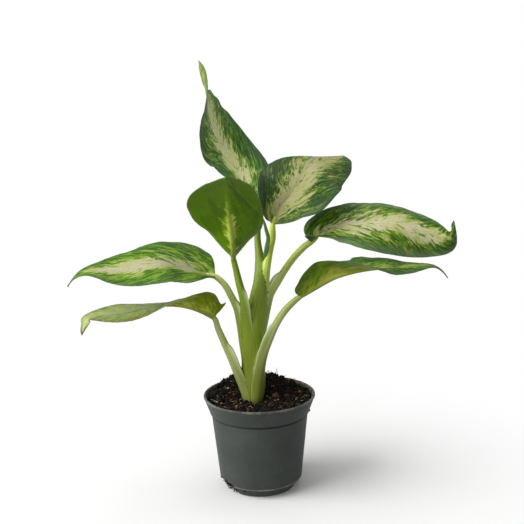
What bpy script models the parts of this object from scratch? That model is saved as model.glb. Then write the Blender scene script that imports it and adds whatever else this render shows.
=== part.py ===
# Potted dieffenbachia in a 60 mm nursery pot.
#
# Frame: metres, +Z up, origin at the centre of the pot's underside.
# The front of the plant is -Y. Dimensions below are in millimetres and are
# turned into metres by MM where the meshes are made.
import bpy
import bmesh
import math
import numpy as np
from mathutils import Vector, Matrix

MM = 0.001
GAP = 0.3                # clearance kept between neighbouring solids

# ---------------------------------------------------------------- pot (mm)
POT_H = 51.0             # height over the lip
LIP_R = 30.0             # outer radius of the lip
LIP_T = 1.0              # height of the lip bead
COLLAR_TOP_R = 29.6      # collar just under the lip
COLLAR_LOW_R = 26.8      # collar at its lower edge
COLLAR_LOW_Z = 42.0
BODY_TOP_R = 25.84       # body just under the collar
BODY_TOP_Z = 39.7
BODY_LOW_R = 22.24       # body above the foot
BODY_LOW_Z = 5.2
FOOT_TOP_R = 20.6
FOOT_R = 18.64           # foot at the surface it stands on
WALL = 1.0               # wall of the pot
FLOOR_T = 1.2            # thickness of the pot's floor
NOTCH_AZ = (211.0, 31.0) # azimuths of the two corner drain openings
NOTCH_W = 14.0           # width of a drain opening
NOTCH_TOP = 6.5          # top of a drain opening
HOLE_D = 5.0             # round drain holes in the floor
HOLE_RING_R = 12.0
HOLE_N = 6

# --------------------------------------------------------------- soil (mm)
SOIL_EDGE_Z = 48.4       # level of the peat at the rim
SOIL_HEAP = 8.0          # height of the heap behind the stem
HEAP_X, HEAP_Y = -2.0, 15.5
HEAP_SX, HEAP_SY = 14.0, 8.5

# -------------------------------------------------- stem and new leaf (mm)
# x, y, z, radius along X, radius along Y
STEM = [(-1.5, 0, 31, 3.6, 3.6), (-1.8, 0, 42, 4.7, 4.5), (-2.2, 0, 50, 5.1, 4.7),
        (-2.4, 0, 63, 5.0, 4.6), (-3, 0, 78, 5.0, 4.4), (-2.8, 0, 89, 4.8, 4.2),
        (-1.3, 0.5, 99.5, 3.9, 3.6), (-0.3, 1, 106, 2.9, 2.8)]
# x, y, z, radius
SPEAR = [(5, -1, 126, 1.0), (5.5, -1.5, 131, 1.0), (6.5, -2, 135.5, 0.95),
         (5.5, -2, 140, 0.85), (4.5, -2.5, 144, 0.6), (4, -2.5, 146, 0.35)]

# ------------------------------------------------------ petioles (mm)
# path: x, y, z, radius from the stem outwards; the blade's base is the end.
# wing: direction of the sheath's open side, fraction of the length it covers,
# height of the wing over the stalk's radius.
# clasps: inner petioles that this one's base wraps against.
PETIOLES = {
    "top": dict(path=[(-1.6, 3.6, 90, 2.9), (-0.4, 5.5, 101.5, 2.9), (0.8, 7, 112, 2.8),
                      (1.0, 9, 123, 2.3), (0.7, 11.5, 132.7, 1.7), (1.2, 13.3, 141.2, 1.6)],
                wing=((1, 0, 0), 0.62, 0.15)),
    "front": dict(path=[(-4.3, -3.1, 84, 2.4), (-6, -4.6, 94, 2.3), (-7, -6.5, 104.5, 2.3),
                        (-9, -8.5, 113.5, 2.0), (-10.5, -10.5, 121.5, 1.7)],
                  wing=((1, 0.2, 0), 0.55, 0.30)),
    "upper_right": dict(path=[(0.5, -1, 98.5, 2.2), (2.2, -1.2, 107, 2.2), (3.8, -0.6, 115, 2.0),
                              (5.8, 0.5, 122, 1.9), (7.4, 1.5, 129, 1.8), (8.7, 2.5, 135, 1.8)],
                        wing=((-1, 0, 0.2), 0.45, 0.30)),
    "right": dict(path=[(0, 1, 81.5, 2.3), (3, 2, 90, 2.3), (5, 3.5, 97.5, 2.2), (7, 5, 104, 2.1),
                        (11, 6.5, 110.5, 2.0), (15, 8, 116.5, 1.9), (20, 9.5, 123, 1.9),
                        (25, 10.3, 128, 1.9)],
                  wing=((-1, 0, 0.5), 0.50, 0.45), clasps=("top", "upper_right")),
    "lower_right": dict(path=[(-1.0, -4.4, 50.2, 2.6), (-0.6, -5, 58, 2.7), (0.8, -5.5, 66.5, 2.6),
                              (3, -6, 75.5, 2.4), (6, -6.2, 83, 2.3), (9.5, -6.5, 90.5, 2.1),
                              (13, -6.5, 96, 2.0), (17, -6, 100.5, 1.9)],
                        wing=((-1, 0, 0.6), 0.55, 0.45)),
    "left": dict(path=[(-5.5, 0.1, 67, 2.2), (-7.6, -0.2, 78, 2.1), (-9, -1, 89, 2.2),
                       (-11, -1.5, 99, 2.0), (-14, -1.5, 106, 1.9), (-17, -1.5, 111.5, 1.8)],
                 wing=((1, 0, 0.6), 0.60, 0.40)),
    "lower_left": dict(path=[(-7.0, -1.2, 50.2, 2.6), (-8.7, -1.7, 55.5, 2.6), (-11, -2, 62.5, 2.5),
                             (-14.5, -1, 71.5, 2.2), (-18, 0, 79.5, 2.0), (-21, 1.2, 86.5, 1.8)],
                       wing=((1, 0, 0.6), 0.55, 0.45)),
}

# -------------------------------------------------------- leaf blades (mm)
# mid: control points of the midrib's B-spline, base to tip
# face: rough direction that the upper side faces
# roll: turn about the midrib, degrees, at 0, 1/3, 2/3 and 1 of its length
# fold_l, fold_r: how far each half is raised from flat, at the same places
# curl_l, curl_r: change of that angle from midrib to margin, at 0, 1/2 and 1
# half: half width left and right; lobe: how far the basal lobes reach back
LEAVES = {
    "top": dict(mid=[(1.5, 15, 148.5), (-4, 23, 160.5), (-15, 32.5, 173.5), (-21, 25.5, 189.5),
                     (-24, 19.5, 206.5), (-24.5, 16.5, 213.5), (-28, 19.5, 227.5)],
                face=(0, -0.99, 0.15), roll=(34, 39, 54, 90),
                fold_l=(34, 33, 19, 33), fold_r=(17, 17, -7, -11),
                curl_l=(19, -22, 20), curl_r=(-4, -10, -26), half=(20.5, 19.5), lobe=(0, 0)),
    "front": dict(mid=[(-11.5, -12.5, 127), (-11, -21, 133), (-11.5, -31.5, 147),
                       (-12.5, -43.5, 157.5), (-12, -57, 167.5), (-11.5, -73.5, 172.5)],
                  face=(0.1, 0.6, 0.8), roll=(4, 0, 5, 5),
                  fold_l=(48, 19, 14, 6), fold_r=(42, 19, 8, 1),
                  curl_l=(15, -13, -10), curl_r=(15, -14, -12), half=(16, 20.5), lobe=(1.5, 2.5)),
    "upper_right": dict(mid=[(9, 3.5, 142), (12, 9.5, 150), (20.5, 15, 154.5), (27.5, 22.5, 173.5),
                             (44.5, 38, 174.5), (51, 57, 174.5)],
                        face=(-0.2, -0.61, 0.76), roll=(18, 8, 2, -1),
                        fold_l=(46, 17, 2, 3), fold_r=(24, 8, -1, 4),
                        curl_l=(35, -33, -20), curl_r=(6, -27, -19), half=(21.5, 21.5), lobe=(3.5, 1)),
    "right": dict(mid=[(32, 10.5, 133.5), (35.5, 15, 138.5), (54.5, 14, 140.5), (76.5, 13.5, 141.5),
                       (98.5, 14, 131), (106.5, 13, 130), (108, 20.5, 139.8)],
                  face=(0, -0.6, 0.8), roll=(-3, 1, 8, 27),
                  fold_l=(15, 8, -2, 5), fold_r=(22, 5, -10, -22),
                  curl_l=(-6, -18, -14), curl_r=(1, -25, -28), half=(15.5, 19.5), lobe=(4.2, 0.5)),
    "lower_right": dict(mid=[(22.5, -5.5, 105), (36.5, -12, 114.5), (40, -19.5, 118), (55.5, -23, 122.5),
                             (80.5, -25.5, 123), (89.5, -26.5, 125), (94, -28.5, 117.5)],
                        face=(0, -0.1, 1), roll=(12, -6, -1, -9),
                        fold_l=(44, 24, 4, -2), fold_r=(57, 50, 6, 6),
                        curl_l=(-15, -8, -16), curl_r=(-20, -15, -5), half=(18.5, 15), lobe=(0, 1)),
    "left": dict(mid=[(-22, -1.5, 116), (-37.5, -5, 121.5), (-47, -9.5, 126), (-61, -13, 123.5),
                      (-80.5, -15.5, 122), (-90, -19, 123), (-95, -19, 115.5)],
                 face=(0, -0.6, 0.8), roll=(6, 6, 10, 28),
                 fold_l=(30, 15, 13, 25), fold_r=(23, 9, 3, -1),
                 curl_l=(6, -11, -1), curl_r=(9, -24, -13), half=(18.5, 18.5), lobe=(1, 0.5)),
    "lower_left": dict(mid=[(-23, 2, 92.5), (-32, -4.5, 100.3), (-46, -8.3, 104), (-63, -9.5, 100.5),
                            (-77.5, -12, 98.5), (-87.5, -14, 97.5), (-89, -20, 90.5)],
                       face=(0, -0.1, 1), roll=(7, 8, 0, 2),
                       fold_l=(95, 28, 10, 11), fold_r=(51, 3, 9, 9),
                       curl_l=(11, -37, 4), curl_r=(-6, -21, -5), half=(15, 16.5), lobe=(5, 5)),
}
LEAF_T = 0.5             # thickness of a blade
LEAF_ROWS = 22           # divisions along a blade
LEAF_COLS = 8            # divisions across a blade
TIP_HALF = 0.25          # half width left at the very tip

# outline of a blade: half width against the length along the midrib
OUT_U = [0, 0.03, 0.10, 0.22, 0.36, 0.50, 0.64, 0.77, 0.88, 0.95, 1.0]
OUT_W = [0.10, 0.46, 0.74, 0.93, 1, 0.98, 0.87, 0.66, 0.38, 0.17, 0.0]

# colours (linear)
C_POT = (0.055, 0.062, 0.058, 1)
C_SOIL = (0.022, 0.013, 0.008, 1)
C_STEM = (0.28, 0.40, 0.09, 1)
C_PETIOLE = (0.30, 0.44, 0.10, 1)
C_BLADE = (0.16, 0.28, 0.07, 1)
C_SPEAR = (0.08, 0.17, 0.05, 1)
C_ROOT = (0.55, 0.44, 0.28, 1)
C_CHIP = (0.55, 0.50, 0.40, 1)


# ------------------------------------------------------------- scene set-up
for ob in list(bpy.data.objects):
    bpy.data.objects.remove(ob, do_unlink=True)
for me in list(bpy.data.meshes):
    bpy.data.meshes.remove(me)

parts = bpy.data.collections.new("potted_dieffenbachia")
cutters = bpy.data.collections.new("cutters")
bpy.context.scene.collection.children.link(parts)
bpy.context.scene.collection.children.link(cutters)


def material(name, colour, rough, metal=0.0):
    m = bpy.data.materials.new(name)
    m.use_nodes = True
    b = m.node_tree.nodes["Principled BSDF"]
    b.inputs["Base Color"].default_value = colour
    b.inputs["Roughness"].default_value = rough
    b.inputs["Metallic"].default_value = metal
    return m


def place(name, mesh, mat=None, cutter=False):
    ob = bpy.data.objects.new(name, mesh)
    (cutters if cutter else parts).objects.link(ob)
    if mat:
        mesh.materials.append(mat)
    if cutter:
        ob.hide_render = True
        ob.display_type = 'WIRE'
    else:
        mesh.shade_smooth()
        mesh.set_sharp_from_angle(angle=math.radians(40))
    return ob


def difference(ob, cutter):
    m = ob.modifiers.new("cut_" + cutter.name, 'BOOLEAN')
    m.operation = 'DIFFERENCE'
    m.solver = 'EXACT'
    m.object = cutter


def union(ob, other):
    m = ob.modifiers.new("join_" + other.name, 'BOOLEAN')
    m.operation = 'UNION'
    m.solver = 'EXACT'
    m.object = other


# ------------------------------------------------------------ curve helpers
def hermite(knots, values, x):
    """Cubic through the values, with finite-difference slopes."""
    k = np.asarray(knots, float)
    v = np.asarray(values, float)
    x = np.clip(np.asarray(x, float), k[0], k[-1])
    h = np.diff(k)
    flat = v.ndim == 1
    if flat:
        v = v[:, None]
    d = np.diff(v, axis=0) / h[:, None]
    m = np.empty_like(v)
    m[0], m[-1] = d[0], d[-1]
    if len(k) > 2:
        w = (h[1:] / (h[1:] + h[:-1]))[:, None]
        m[1:-1] = w * d[:-1] + (1 - w) * d[1:]
    i = np.clip(np.searchsorted(k, x, side='right') - 1, 0, len(k) - 2)
    t = ((x - k[i]) / h[i])[:, None]
    H = h[i][:, None]
    r = ((2*t**3 - 3*t**2 + 1) * v[i] + (t**3 - 2*t**2 + t) * H * m[i]
         + (-2*t**3 + 3*t**2) * v[i+1] + (t**3 - t**2) * H * m[i+1])
    return r[:, 0] if flat else r


def bspline(ctrl, t):
    """Clamped uniform cubic B-spline, t from 0 to 1."""
    P = np.asarray(ctrl, float)
    n = len(P)
    kn = np.r_[[0]*3, np.linspace(0, 1, n - 2), [1]*3]
    t = np.clip(np.asarray(t, float), 0, 1 - 1e-9)
    B = np.zeros((len(t), len(kn) - 1))
    for i in range(len(kn) - 1):
        B[:, i] = (t >= kn[i]) & (t < kn[i+1])
    for d in range(1, 4):
        C = np.zeros((len(t), len(kn) - 1 - d))
        for i in range(len(kn) - 1 - d):
            a, b = kn[i+d] - kn[i], kn[i+d+1] - kn[i+1]
            if a > 0:
                C[:, i] += (t - kn[i]) / a * B[:, i]
            if b > 0:
                C[:, i] += (kn[i+d+1] - t) / b * B[:, i+1]
        B = C
    return B @ P


def midrib(ctrl, u):
    """Points and unit tangents at fractions u of the spline's length."""
    tt = np.linspace(0, 1, 161)
    P = bspline(ctrl, tt)
    s = np.r_[0, np.cumsum(np.linalg.norm(np.diff(P, axis=0), axis=1))]
    t2 = np.interp(u * s[-1], s, tt)
    T = bspline(ctrl, np.clip(t2 + .006, 0, 1)) - bspline(ctrl, np.clip(t2 - .006, 0, 1))
    T /= np.linalg.norm(T, axis=1)[:, None]
    return bspline(ctrl, t2), T


def blade_points(p, u, v):
    """Points of a blade's middle surface; v from -1, left margin, to 1."""
    P, T = midrib(p["mid"], u)
    f = np.asarray(p["face"], float)
    f /= np.linalg.norm(f)
    N = f[None] - (T @ f)[:, None] * T
    N /= np.linalg.norm(N, axis=1)[:, None]
    R = np.cross(T, N)
    k4, k3 = (0, .33, .67, 1), (0, .5, 1)
    a = np.radians(hermite(k4, p["roll"], u))[:, None]
    N = N * np.cos(a) + R * np.sin(a)
    R = np.cross(T, N)
    W = hermite(OUT_U, OUT_W, u)
    out = np.empty((len(u), len(v), 3))
    for j, vv in enumerate(v):
        side = 1 if vv >= 0 else 0
        s = 1.0 if side else -1.0
        fold = np.radians(hermite(k4, p["fold_r" if side else "fold_l"], u))
        curl = np.radians(hermite(k3, p["curl_r" if side else "curl_l"], u))
        w = np.maximum(p["half"][side] * W, TIP_HALF)
        t = abs(vv)
        x = np.zeros(len(u))
        y = np.zeros(len(u))
        for q in range(8):
            m = (q + .5) / 8 * t
            x += np.cos(fold + curl * m) * t / 8
            y += np.sin(fold + curl * m) * t / 8
        lobe = (p["lobe"][side] * (1 - np.exp(-(u / 0.012)**2))
                * np.exp(-(u / 0.10)**1.5) * t**1.6)
        out[:, j] = P + (w * x * s)[:, None] * R + (w * y)[:, None] * N - lobe[:, None] * T
    return out


def tube(name, stations, sides, radii=None, wing=None, rings=18, extra=0.0, ends=(0.0, 0.0)):
    """Closed loft along stations (x, y, z, r) or (x, y, z, rx, ry).
    extra widens it, ends lengthens it at its start and end."""
    S = np.asarray(stations, float)
    c = np.r_[0, np.cumsum(np.linalg.norm(np.diff(S[:, :3], axis=0), axis=1))]
    t = np.linspace(0, c[-1], rings)
    Q = hermite(c, S, t)
    P = Q[:, :3].copy()
    rad = Q[:, 3:] + extra
    T = np.gradient(P, axis=0)
    T /= np.linalg.norm(T, axis=1)[:, None]
    P[0] -= T[0] * ends[0]
    P[-1] += T[-1] * ends[1]
    ref = np.array(wing[0] if wing else (1, 0, 0), float)
    bm = bmesh.new()
    loops = []
    for i in range(rings):
        A = ref - (ref @ T[i]) * T[i]
        A /= np.linalg.norm(A)
        B = np.cross(T[i], A)
        lp = []
        for k in range(sides):
            th = 2 * math.pi * k / sides
            g = 1.0
            if wing:
                s = i / (rings - 1)
                d = min(th, 2 * math.pi - th)
                on = 1 / (1 + math.exp((s - wing[1]) / 0.03))
                g += wing[2] * on * math.exp(-(d / 0.5)**2)
            rx = rad[i, 0]
            ry = rad[i, -1]
            q = P[i] + A * rx * g * math.cos(th) + B * ry * math.sin(th) * (1.0 if not wing else 1.0)
            lp.append(bm.verts.new(Vector(q) * MM))
        loops.append(lp)
    for i in range(rings - 1):
        for k in range(sides):
            k2 = (k + 1) % sides
            bm.faces.new((loops[i][k], loops[i][k2], loops[i+1][k2], loops[i+1][k]))
    bm.faces.new(list(reversed(loops[0])))
    bm.faces.new(loops[-1])
    bmesh.ops.recalc_face_normals(bm, faces=bm.faces)
    me = bpy.data.meshes.new(name)
    bm.to_mesh(me)
    bm.free()
    return me


def turned(name, profile, steps, mat=None, cutter=False):
    """Closed solid of revolution from a profile that starts and ends on the
    axis, or a closed ring profile; it runs down its outer side."""
    me = bpy.data.meshes.new(name)
    me.from_pydata([(r * MM, 0, z * MM) for r, z in profile],
                   [(i, i + 1) for i in range(len(profile) - 1)], [])
    ob = place(name, me, mat, cutter)
    sc = ob.modifiers.new("turn", 'SCREW')
    sc.axis = 'Z'
    sc.angle = 2 * math.pi
    sc.steps = sc.render_steps = steps
    sc.use_merge_vertices = True
    sc.merge_threshold = 0.0001
    sc.use_smooth_shade = True
    return ob


# ---------------------------------------------------------------- materials
mat_pot = material("pot_plastic", C_POT, 0.55)
mat_soil = material("peat", C_SOIL, 0.95)
mat_stem = material("stem_green", C_STEM, 0.5)
mat_root = material("root", C_ROOT, 0.8)
mat_spear = material("new_leaf", C_SPEAR, 0.4)
mat_chip = material("chip", C_CHIP, 0.8)

# ---------------------------------------------------------------------- pot
slope = (BODY_TOP_R - BODY_LOW_R) / (BODY_TOP_Z - BODY_LOW_Z)
pot_inner = [(FOOT_R - WALL, FLOOR_T), (FOOT_TOP_R - WALL + 0.1, BODY_LOW_Z - 0.2),
             (BODY_LOW_R - WALL, BODY_LOW_Z + 0.7), (BODY_TOP_R - WALL, BODY_TOP_Z - 0.2),
             (COLLAR_LOW_R - WALL, COLLAR_LOW_Z + 0.2), (LIP_R - 1.5, POT_H - 0.9),
             (LIP_R - 1.3, POT_H - 0.3), (LIP_R - 1.0, POT_H)]
pot_outer = [(LIP_R - 0.35, POT_H), (LIP_R, POT_H - 0.35), (LIP_R, POT_H - LIP_T),
             (COLLAR_TOP_R, POT_H - LIP_T - 0.3), (COLLAR_LOW_R, COLLAR_LOW_Z),
             (BODY_TOP_R + 0.15, BODY_TOP_Z + 0.9), (BODY_TOP_R, BODY_TOP_Z),
             (BODY_LOW_R, BODY_LOW_Z), (BODY_LOW_R - 0.4, BODY_LOW_Z - 0.5),
             (FOOT_TOP_R, BODY_LOW_Z - 0.7), (FOOT_R, 0.3), (FOOT_R - 0.3, 0.0)]
pot = turned("pot", [(0, FLOOR_T)] + pot_inner + pot_outer + [(0, 0)], 48, mat_pot)

for n, az in enumerate(NOTCH_AZ):
    bm = bmesh.new()
    bmesh.ops.create_cube(bm, size=1.0)
    bmesh.ops.scale(bm, vec=(8 * MM, NOTCH_W * MM, (NOTCH_TOP + 2) * MM), verts=bm.verts)
    bmesh.ops.translate(bm, vec=((17.2 + 4) * MM, 0, (NOTCH_TOP / 2 - 1) * MM), verts=bm.verts)
    bmesh.ops.rotate(bm, cent=(0, 0, 0), matrix=Matrix.Rotation(math.radians(az), 3, 'Z'),
                     verts=bm.verts)
    me = bpy.data.meshes.new("notch_%d" % n)
    bm.to_mesh(me)
    bm.free()
    difference(pot, place("notch_%d" % n, me, cutter=True))

for n in range(HOLE_N):
    a = math.radians(NOTCH_AZ[1] + 30 + 60 * n)
    bm = bmesh.new()
    bmesh.ops.create_cone(bm, cap_ends=True, segments=16, radius1=HOLE_D / 2 * MM,
                          radius2=HOLE_D / 2 * MM, depth=4 * MM)
    bmesh.ops.translate(bm, vec=(HOLE_RING_R * math.cos(a) * MM, HOLE_RING_R * math.sin(a) * MM, 0),
                        verts=bm.verts)
    me = bpy.data.meshes.new("drain_hole_%d" % n)
    bm.to_mesh(me)
    bm.free()
    difference(pot, place("drain_hole_%d" % n, me, cutter=True))


# --------------------------------------------------------------------- soil
def soil_top(x, y):
    r = math.hypot(x, y)
    edge = 1 - min(1, max(0, (r - 20) / 7.6))**2
    return SOIL_EDGE_Z + SOIL_HEAP * edge * math.exp(
        -((x - HEAP_X) / HEAP_SX)**2 / 2 - ((y - HEAP_Y) / HEAP_SY)**2 / 2)


def make_soil():
    bm = bmesh.new()
    n = 36
    side = [(27.6, SOIL_EDGE_Z), (25.45, COLLAR_LOW_Z + 0.2), (24.5, BODY_TOP_Z - 0.3),
            (20.9, BODY_LOW_Z + 0.9), (19.35, BODY_LOW_Z + 0.1), (17.3, FLOOR_T + GAP)]
    rings = []
    for r in (4.5, 9, 13.5, 18, 22, 25.5, 27.6):
        rings.append([bm.verts.new((r * math.cos(2*math.pi*k/n) * MM, r * math.sin(2*math.pi*k/n) * MM,
                      soil_top(r * math.cos(2*math.pi*k/n), r * math.sin(2*math.pi*k/n)) * MM))
                      for k in range(n)])
    for r, z in side[1:]:
        rings.append([bm.verts.new((r * math.cos(2*math.pi*k/n) * MM, r * math.sin(2*math.pi*k/n) * MM,
                      z * MM)) for k in range(n)])
    c = bm.verts.new((0, 0, soil_top(0, 0) * MM))
    for k in range(n):
        bm.faces.new((c, rings[0][k], rings[0][(k + 1) % n]))
    for a, b in zip(rings, rings[1:]):
        for k in range(n):
            bm.faces.new((a[k], b[k], b[(k + 1) % n], a[(k + 1) % n]))
    bm.faces.new(list(reversed(rings[-1])))
    bmesh.ops.recalc_face_normals(bm, faces=bm.faces)
    me = bpy.data.meshes.new("soil")
    bm.to_mesh(me)
    bm.free()
    return place("soil", me, mat_soil)


soil = make_soil()

# ----------------------------------------------------------- stem and roots
stem = place("stem", tube("stem", STEM, 14, rings=18), mat_stem)
stem_fat = place("stem_clearance", tube("stem_clearance", STEM, 14, rings=18, extra=GAP,
                                        ends=(GAP, GAP)), cutter=True)
difference(soil, stem_fat)

CROWN = [(-1.5, 0, 30.7, 3.2), (-1.5, 0, 27, 3.4), (-1.5, 0, 23, 2.0)]
roots = place("roots", tube("roots", CROWN, 10, rings=6), mat_root)
difference(soil, place("crown_clearance", tube("crown_clearance", CROWN, 10, rings=6, extra=GAP,
                                               ends=(GAP, GAP)), cutter=True))
for n in range(6):
    a = math.radians(20 + 60 * n)
    ca, sa = math.cos(a), math.sin(a)
    drop = 3.0 * (n % 2)
    path = [(-1.5 + 0.8 * ca, 0.8 * sa, 26.5, 1.3), (-1.5 + 6 * ca, 6 * sa, 25 - drop, 1.2),
            (-1 + 11 * ca, 11 * sa, 20 - drop, 1.1), (-0.5 + 14 * ca, 14 * sa, 13 - drop, 1.0),
            (13 * math.cos(a + .5), 13 * math.sin(a + .5), 7.5 - drop * .5, 0.8)]
    arm = place("root_%d" % n, tube("root_%d" % n, path, 6, rings=9), cutter=True)
    union(roots, arm)
    difference(soil, place("root_clearance_%d" % n,
                           tube("root_clearance_%d" % n, path, 6, rings=9, extra=GAP,
                                ends=(0, GAP)), cutter=True))

# ---------------------------------------------------- petioles and blades
def petiole_mesh(name, fat=0.0, foot=0.0):
    p = PETIOLES[name]
    base = np.array(LEAVES[name]["mid"][0], float)
    last = np.array(p["path"][-1][:3], float)
    d = (base - last) / np.linalg.norm(base - last)
    end = base - d * 0.6
    path = p["path"] + [(end[0], end[1], end[2], 1.2)]
    return tube("petiole_" + name, path, 10, wing=p["wing"], rings=18, extra=fat, ends=(foot, 0.0))


for name, p in PETIOLES.items():
    ob = place("petiole_" + name, petiole_mesh(name), material("petiole_" + name, C_PETIOLE, 0.45))
    difference(ob, stem_fat)
    for other in p.get("clasps", ()):
        difference(ob, place("clearance_%s_%s" % (name, other), petiole_mesh(other, GAP),
                             cutter=True))

for name, p in LEAVES.items():
    u = np.linspace(0, 1, LEAF_ROWS + 1)
    u = np.sort(np.r_[u, 0.5 * (u[0] + u[1])])
    v = np.linspace(-1, 1, LEAF_COLS + 1)
    G = blade_points(p, u, v)
    bm = bmesh.new()
    vs = [[bm.verts.new(Vector(q) * MM) for q in row] for row in G]
    for i in range(len(u) - 1):
        for j in range(len(v) - 1):
            bm.faces.new((vs[i][j], vs[i][j+1], vs[i+1][j+1], vs[i+1][j]))
    me = bpy.data.meshes.new("leaf_" + name)
    bm.to_mesh(me)
    bm.free()
    ob = place("leaf_" + name, me, material("blade_" + name, C_BLADE, 0.38))
    so = ob.modifiers.new("thickness", 'SOLIDIFY')
    so.thickness = LEAF_T * MM
    so.offset = 0.0

# the two lowest petioles stand in the peat
for name in ("lower_left", "lower_right"):
    difference(soil, place("soil_clearance_" + name, petiole_mesh(name, GAP, GAP), cutter=True))

# ------------------------------------------------------------ new leaf, chip
place("new_leaf_spear", tube("new_leaf_spear", SPEAR, 8, rings=12), mat_spear)

bm = bmesh.new()
bmesh.ops.create_cube(bm, size=1.0)
bmesh.ops.scale(bm, vec=(2.2 * MM, 1.5 * MM, 0.9 * MM), verts=bm.verts)
me = bpy.data.meshes.new("perlite_chip")
bm.to_mesh(me)
bm.free()
chip = place("perlite_chip", me, mat_chip)
chip.location = (10.4 * MM, -7.8 * MM, (soil_top(10.4, -7.8) + 0.85) * MM)
chip.rotation_euler = (0, 0, math.radians(25))
bv = chip.modifiers.new("round", 'BEVEL')
bv.width = 0.25 * MM
bv.segments = 2
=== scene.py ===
import bpy
import bmesh
import math
import numpy as np
from mathutils import Vector, Matrix


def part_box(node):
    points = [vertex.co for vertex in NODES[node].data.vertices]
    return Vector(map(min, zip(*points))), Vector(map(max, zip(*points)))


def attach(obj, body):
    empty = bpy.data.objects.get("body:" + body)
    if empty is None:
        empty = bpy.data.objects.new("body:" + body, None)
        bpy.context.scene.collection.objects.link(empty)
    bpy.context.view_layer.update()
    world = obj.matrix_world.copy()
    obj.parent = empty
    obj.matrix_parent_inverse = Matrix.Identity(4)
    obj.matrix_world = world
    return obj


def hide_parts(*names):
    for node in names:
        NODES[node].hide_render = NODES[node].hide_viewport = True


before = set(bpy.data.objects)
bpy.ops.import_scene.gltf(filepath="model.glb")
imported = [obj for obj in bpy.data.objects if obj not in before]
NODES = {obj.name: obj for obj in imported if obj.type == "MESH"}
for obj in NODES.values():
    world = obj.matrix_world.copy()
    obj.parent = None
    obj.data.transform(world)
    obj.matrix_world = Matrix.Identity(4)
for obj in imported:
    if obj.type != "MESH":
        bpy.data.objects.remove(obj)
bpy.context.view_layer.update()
MM = 0.001


# =================================================================== helpers
def hermite(knots, values, x):
    """Cubic through the values, with finite-difference slopes."""
    k = np.asarray(knots, float)
    v = np.asarray(values, float)
    x = np.clip(np.asarray(x, float), k[0], k[-1])
    h = np.diff(k)
    flat = v.ndim == 1
    if flat:
        v = v[:, None]
    d = np.diff(v, axis=0) / h[:, None]
    m = np.empty_like(v)
    m[0], m[-1] = d[0], d[-1]
    if len(k) > 2:
        w = (h[1:] / (h[1:] + h[:-1]))[:, None]
        m[1:-1] = w * d[:-1] + (1 - w) * d[1:]
    i = np.clip(np.searchsorted(k, x, side='right') - 1, 0, len(k) - 2)
    t = ((x - k[i]) / h[i])[:, None]
    H = h[i][:, None]
    r = ((2*t**3 - 3*t**2 + 1) * v[i] + (t**3 - 2*t**2 + t) * H * m[i]
         + (-2*t**3 + 3*t**2) * v[i+1] + (t**3 - t**2) * H * m[i+1])
    return r[:, 0] if flat else r


def bspline(ctrl, t):
    """Clamped uniform cubic B-spline, t from 0 to 1."""
    P = np.asarray(ctrl, float)
    n = len(P)
    kn = np.r_[[0]*3, np.linspace(0, 1, n - 2), [1]*3]
    t = np.clip(np.asarray(t, float), 0, 1 - 1e-9)
    B = np.zeros((len(t), len(kn) - 1))
    for i in range(len(kn) - 1):
        B[:, i] = (t >= kn[i]) & (t < kn[i+1])
    for d in range(1, 4):
        C = np.zeros((len(t), len(kn) - 1 - d))
        for i in range(len(kn) - 1 - d):
            a, b = kn[i+d] - kn[i], kn[i+d+1] - kn[i+1]
            if a > 0:
                C[:, i] += (t - kn[i]) / a * B[:, i]
            if b > 0:
                C[:, i] += (kn[i+d+1] - t) / b * B[:, i+1]
        B = C
    return B @ P


def midrib(ctrl, u):
    tt = np.linspace(0, 1, 161)
    P = bspline(ctrl, tt)
    s = np.r_[0, np.cumsum(np.linalg.norm(np.diff(P, axis=0), axis=1))]
    t2 = np.interp(u * s[-1], s, tt)
    T = bspline(ctrl, np.clip(t2 + .006, 0, 1)) - bspline(ctrl, np.clip(t2 - .006, 0, 1))
    T /= np.linalg.norm(T, axis=1)[:, None]
    return bspline(ctrl, t2), T, s[-1]


def smooth(a, b, x):
    t = np.clip((np.asarray(x, float) - a) / (b - a), 0, 1)
    return t * t * (3 - 2 * t)


def _hash(i, j, k, seed):
    n = (i.astype(np.int64) * 374761393 + j.astype(np.int64) * 668265263
         + k.astype(np.int64) * 1440662683 + seed * 362437) & 0xffffffff
    n = ((n ^ (n >> 13)) * 1274126177) & 0xffffffff
    return ((n ^ (n >> 16)) & 0xffffff) / float(0xffffff)


def vnoise(x, y, z=0.0, seed=0):
    """Smooth value noise from 0 to 1."""
    x, y, z = np.broadcast_arrays(np.asarray(x, float), np.asarray(y, float), np.asarray(z, float))
    i, j, k = np.floor(x), np.floor(y), np.floor(z)
    fx, fy, fz = x - i, y - j, z - k
    fx, fy, fz = (f * f * (3 - 2 * f) for f in (fx, fy, fz))
    out = 0
    for a in (0, 1):
        for b in (0, 1):
            for c in (0, 1):
                w = (fx if a else 1 - fx) * (fy if b else 1 - fy) * (fz if c else 1 - fz)
                out = out + w * _hash(i + a, j + b, k + c, seed)
    return out


def fbm(x, y, z=0.0, seed=0, n=3):
    t, a, s = 0, 0.5, 0.0
    for o in range(n):
        t = t + a * vnoise(x * 2**o, np.asarray(y) * 2**o, np.asarray(z) * 2**o, seed + 17 * o)
        s += a
        a *= 0.5
    return t / s


def srgb(r, g, b):
    f = lambda c: c / 12.92 if c <= 0.04045 else ((c + 0.055) / 1.055) ** 2.4
    return (f(r / 255), f(g / 255), f(b / 255), 1.0)


def new_object(name, verts, faces, mats, smooth_shade=True):
    me = bpy.data.meshes.new(name)
    me.from_pydata((np.asarray(verts, float) * MM).tolist(), [], faces)
    me.update()
    for m in mats:
        me.materials.append(m)
    ob = bpy.data.objects.new(name, me)
    bpy.context.scene.collection.objects.link(ob)
    if smooth_shade:
        me.shade_smooth()
    return ob


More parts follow.
